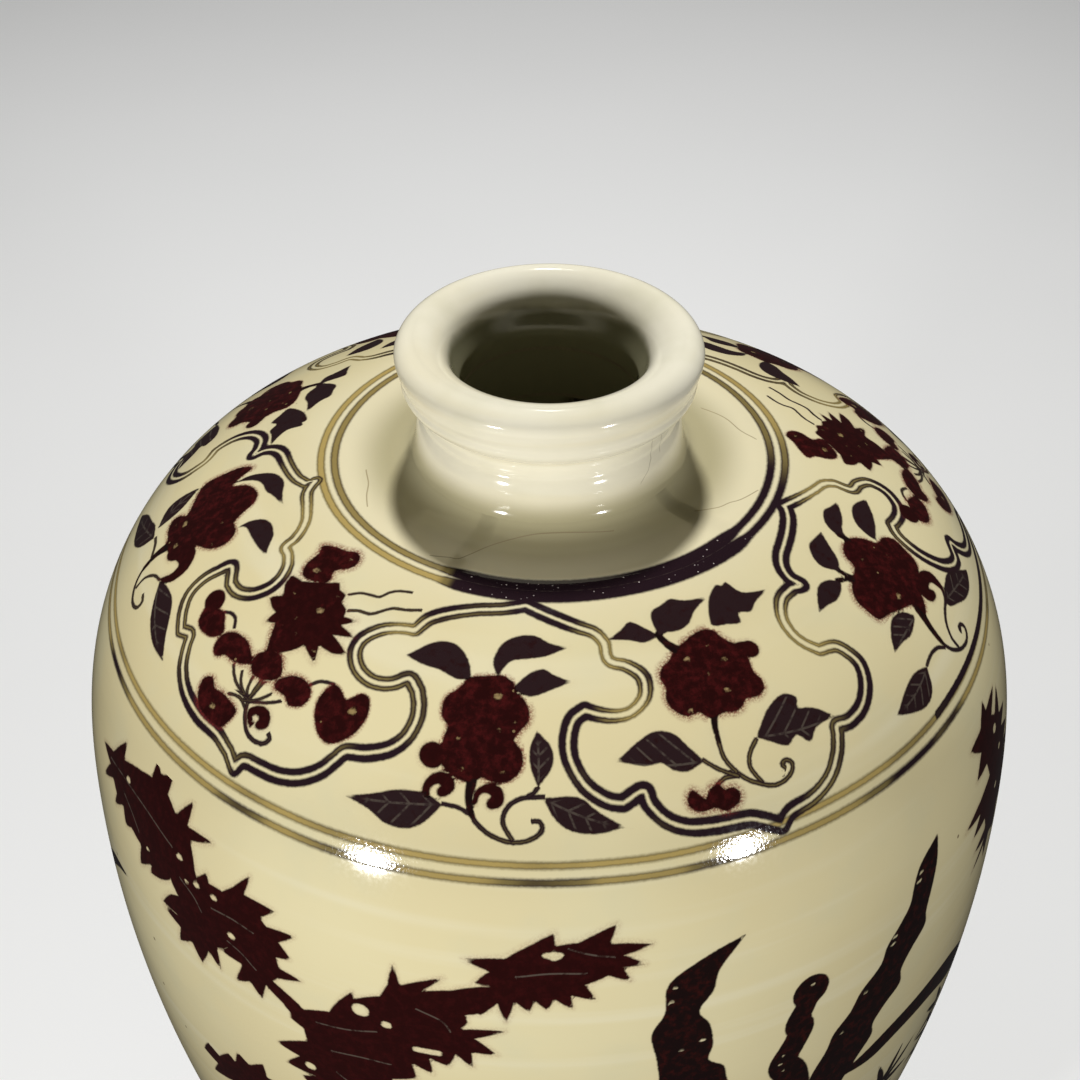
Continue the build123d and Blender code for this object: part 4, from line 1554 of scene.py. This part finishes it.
make_foot_section()
make_body_section("lower_body", foot_joint_share, belly_joint_share, [draw_foot, draw_body])
make_body_section("upper_body", belly_joint_share, shoulder_joint_share, [draw_body])
make_shoulder()
make_neck()
make_mouth_rim()
make_seam("foot_seam", foot_joint_share)
make_seam("belly_seam", belly_joint_share)
make_seam("shoulder_seam", shoulder_joint_share)
make_throat_seam("neck_seam", *neck_foot)
make_throat_seam("lip_seam", *waist)


# Floor, light and camera

def make_floor():
    """Plain pale floor."""
    bpy.ops.object.select_all(action="DESELECT")
    bpy.ops.mesh.primitive_plane_add(size=12, location=(0, 0, 0))
    floor = bpy.context.object
    floor.name = "floor"
    material, inputs, place = new_material("pale_floor")
    feed(inputs["Base Color"], blend(noise(place, 4), (0.86, 0.86, 0.85), (0.90, 0.90, 0.89)))
    inputs["Roughness"].default_value = 0.7
    floor.data.materials.append(material)
    floor.visible_glossy = False
    floor.visible_diffuse = False


def soft_light(name, location, target, size, power, tall=None):
    """Rectangular soft light that faces a target."""
    lamp = bpy.data.lights.new(name, "AREA")
    lamp.shape = "ELLIPSE"
    lamp.size = size
    lamp.size_y = tall or size
    lamp.energy = power
    holder = bpy.data.objects.new(name, lamp)
    holder.location = location
    holder.rotation_euler = (Vector(target) - Vector(location)).to_track_quat("-Z", "Y").to_euler()
    bpy.context.scene.collection.objects.link(holder)
    return holder


def make_world():
    """Pale surroundings: white to the camera, dimmer as light."""
    world = bpy.data.worlds.new("pale_room")
    bpy.context.scene.world = world
    world.use_nodes = True
    tree = world.node_tree
    background = tree.nodes["Background"]
    rays = tree.nodes.new("ShaderNodeLightPath")
    background.inputs["Color"].default_value = (1, 1, 1, 1)
    feed(background.inputs["Strength"], Term(rays.outputs["Is Camera Ray"]) * 0.98 + 0.02)


make_floor()
make_world()

# Lamps and camera, in metres; the camera was worked out from the ellipses of the photograph
overhead_place = (0.0, 0.75, 1.65)
left_place = (-0.421, -0.574, 0.396)
right_place = (0.452, -0.543, 0.422)
upper_aim = (0, 0, 0.38)
lower_aim = (0, 0, 0.34)
overhead = soft_light("overhead_softbox", overhead_place, upper_aim, size=0.16, power=25)
overhead.visible_glossy = False
core = soft_light("overhead_core", overhead_place, upper_aim, size=0.08, power=1.6)
core.visible_diffuse = False
soft_light("left_softbox", left_place, lower_aim, size=0.088, power=3.5, tall=0.075)
soft_light("right_softbox", right_place, lower_aim, size=0.088, power=2.1, tall=0.075)

camera_place = (0, -0.4781, 0.7014)
camera_tilt = math.radians(36.79)
lens_length = 72.46
sensor_width = 36
sideways_shift = -0.0086
camera_data = bpy.data.cameras.new("camera")
camera_data.lens = lens_length
camera_data.sensor_width = sensor_width
camera_data.shift_x = sideways_shift
camera_data.clip_start = 0.01
camera = bpy.data.objects.new("camera", camera_data)
camera.location = camera_place
camera.rotation_euler = (math.pi / 2 - camera_tilt, 0, 0)
bpy.context.scene.collection.objects.link(camera)
bpy.context.scene.camera = camera
bpy.context.scene.view_settings.view_transform = "Standard"

bpy.context.view_layer.update()
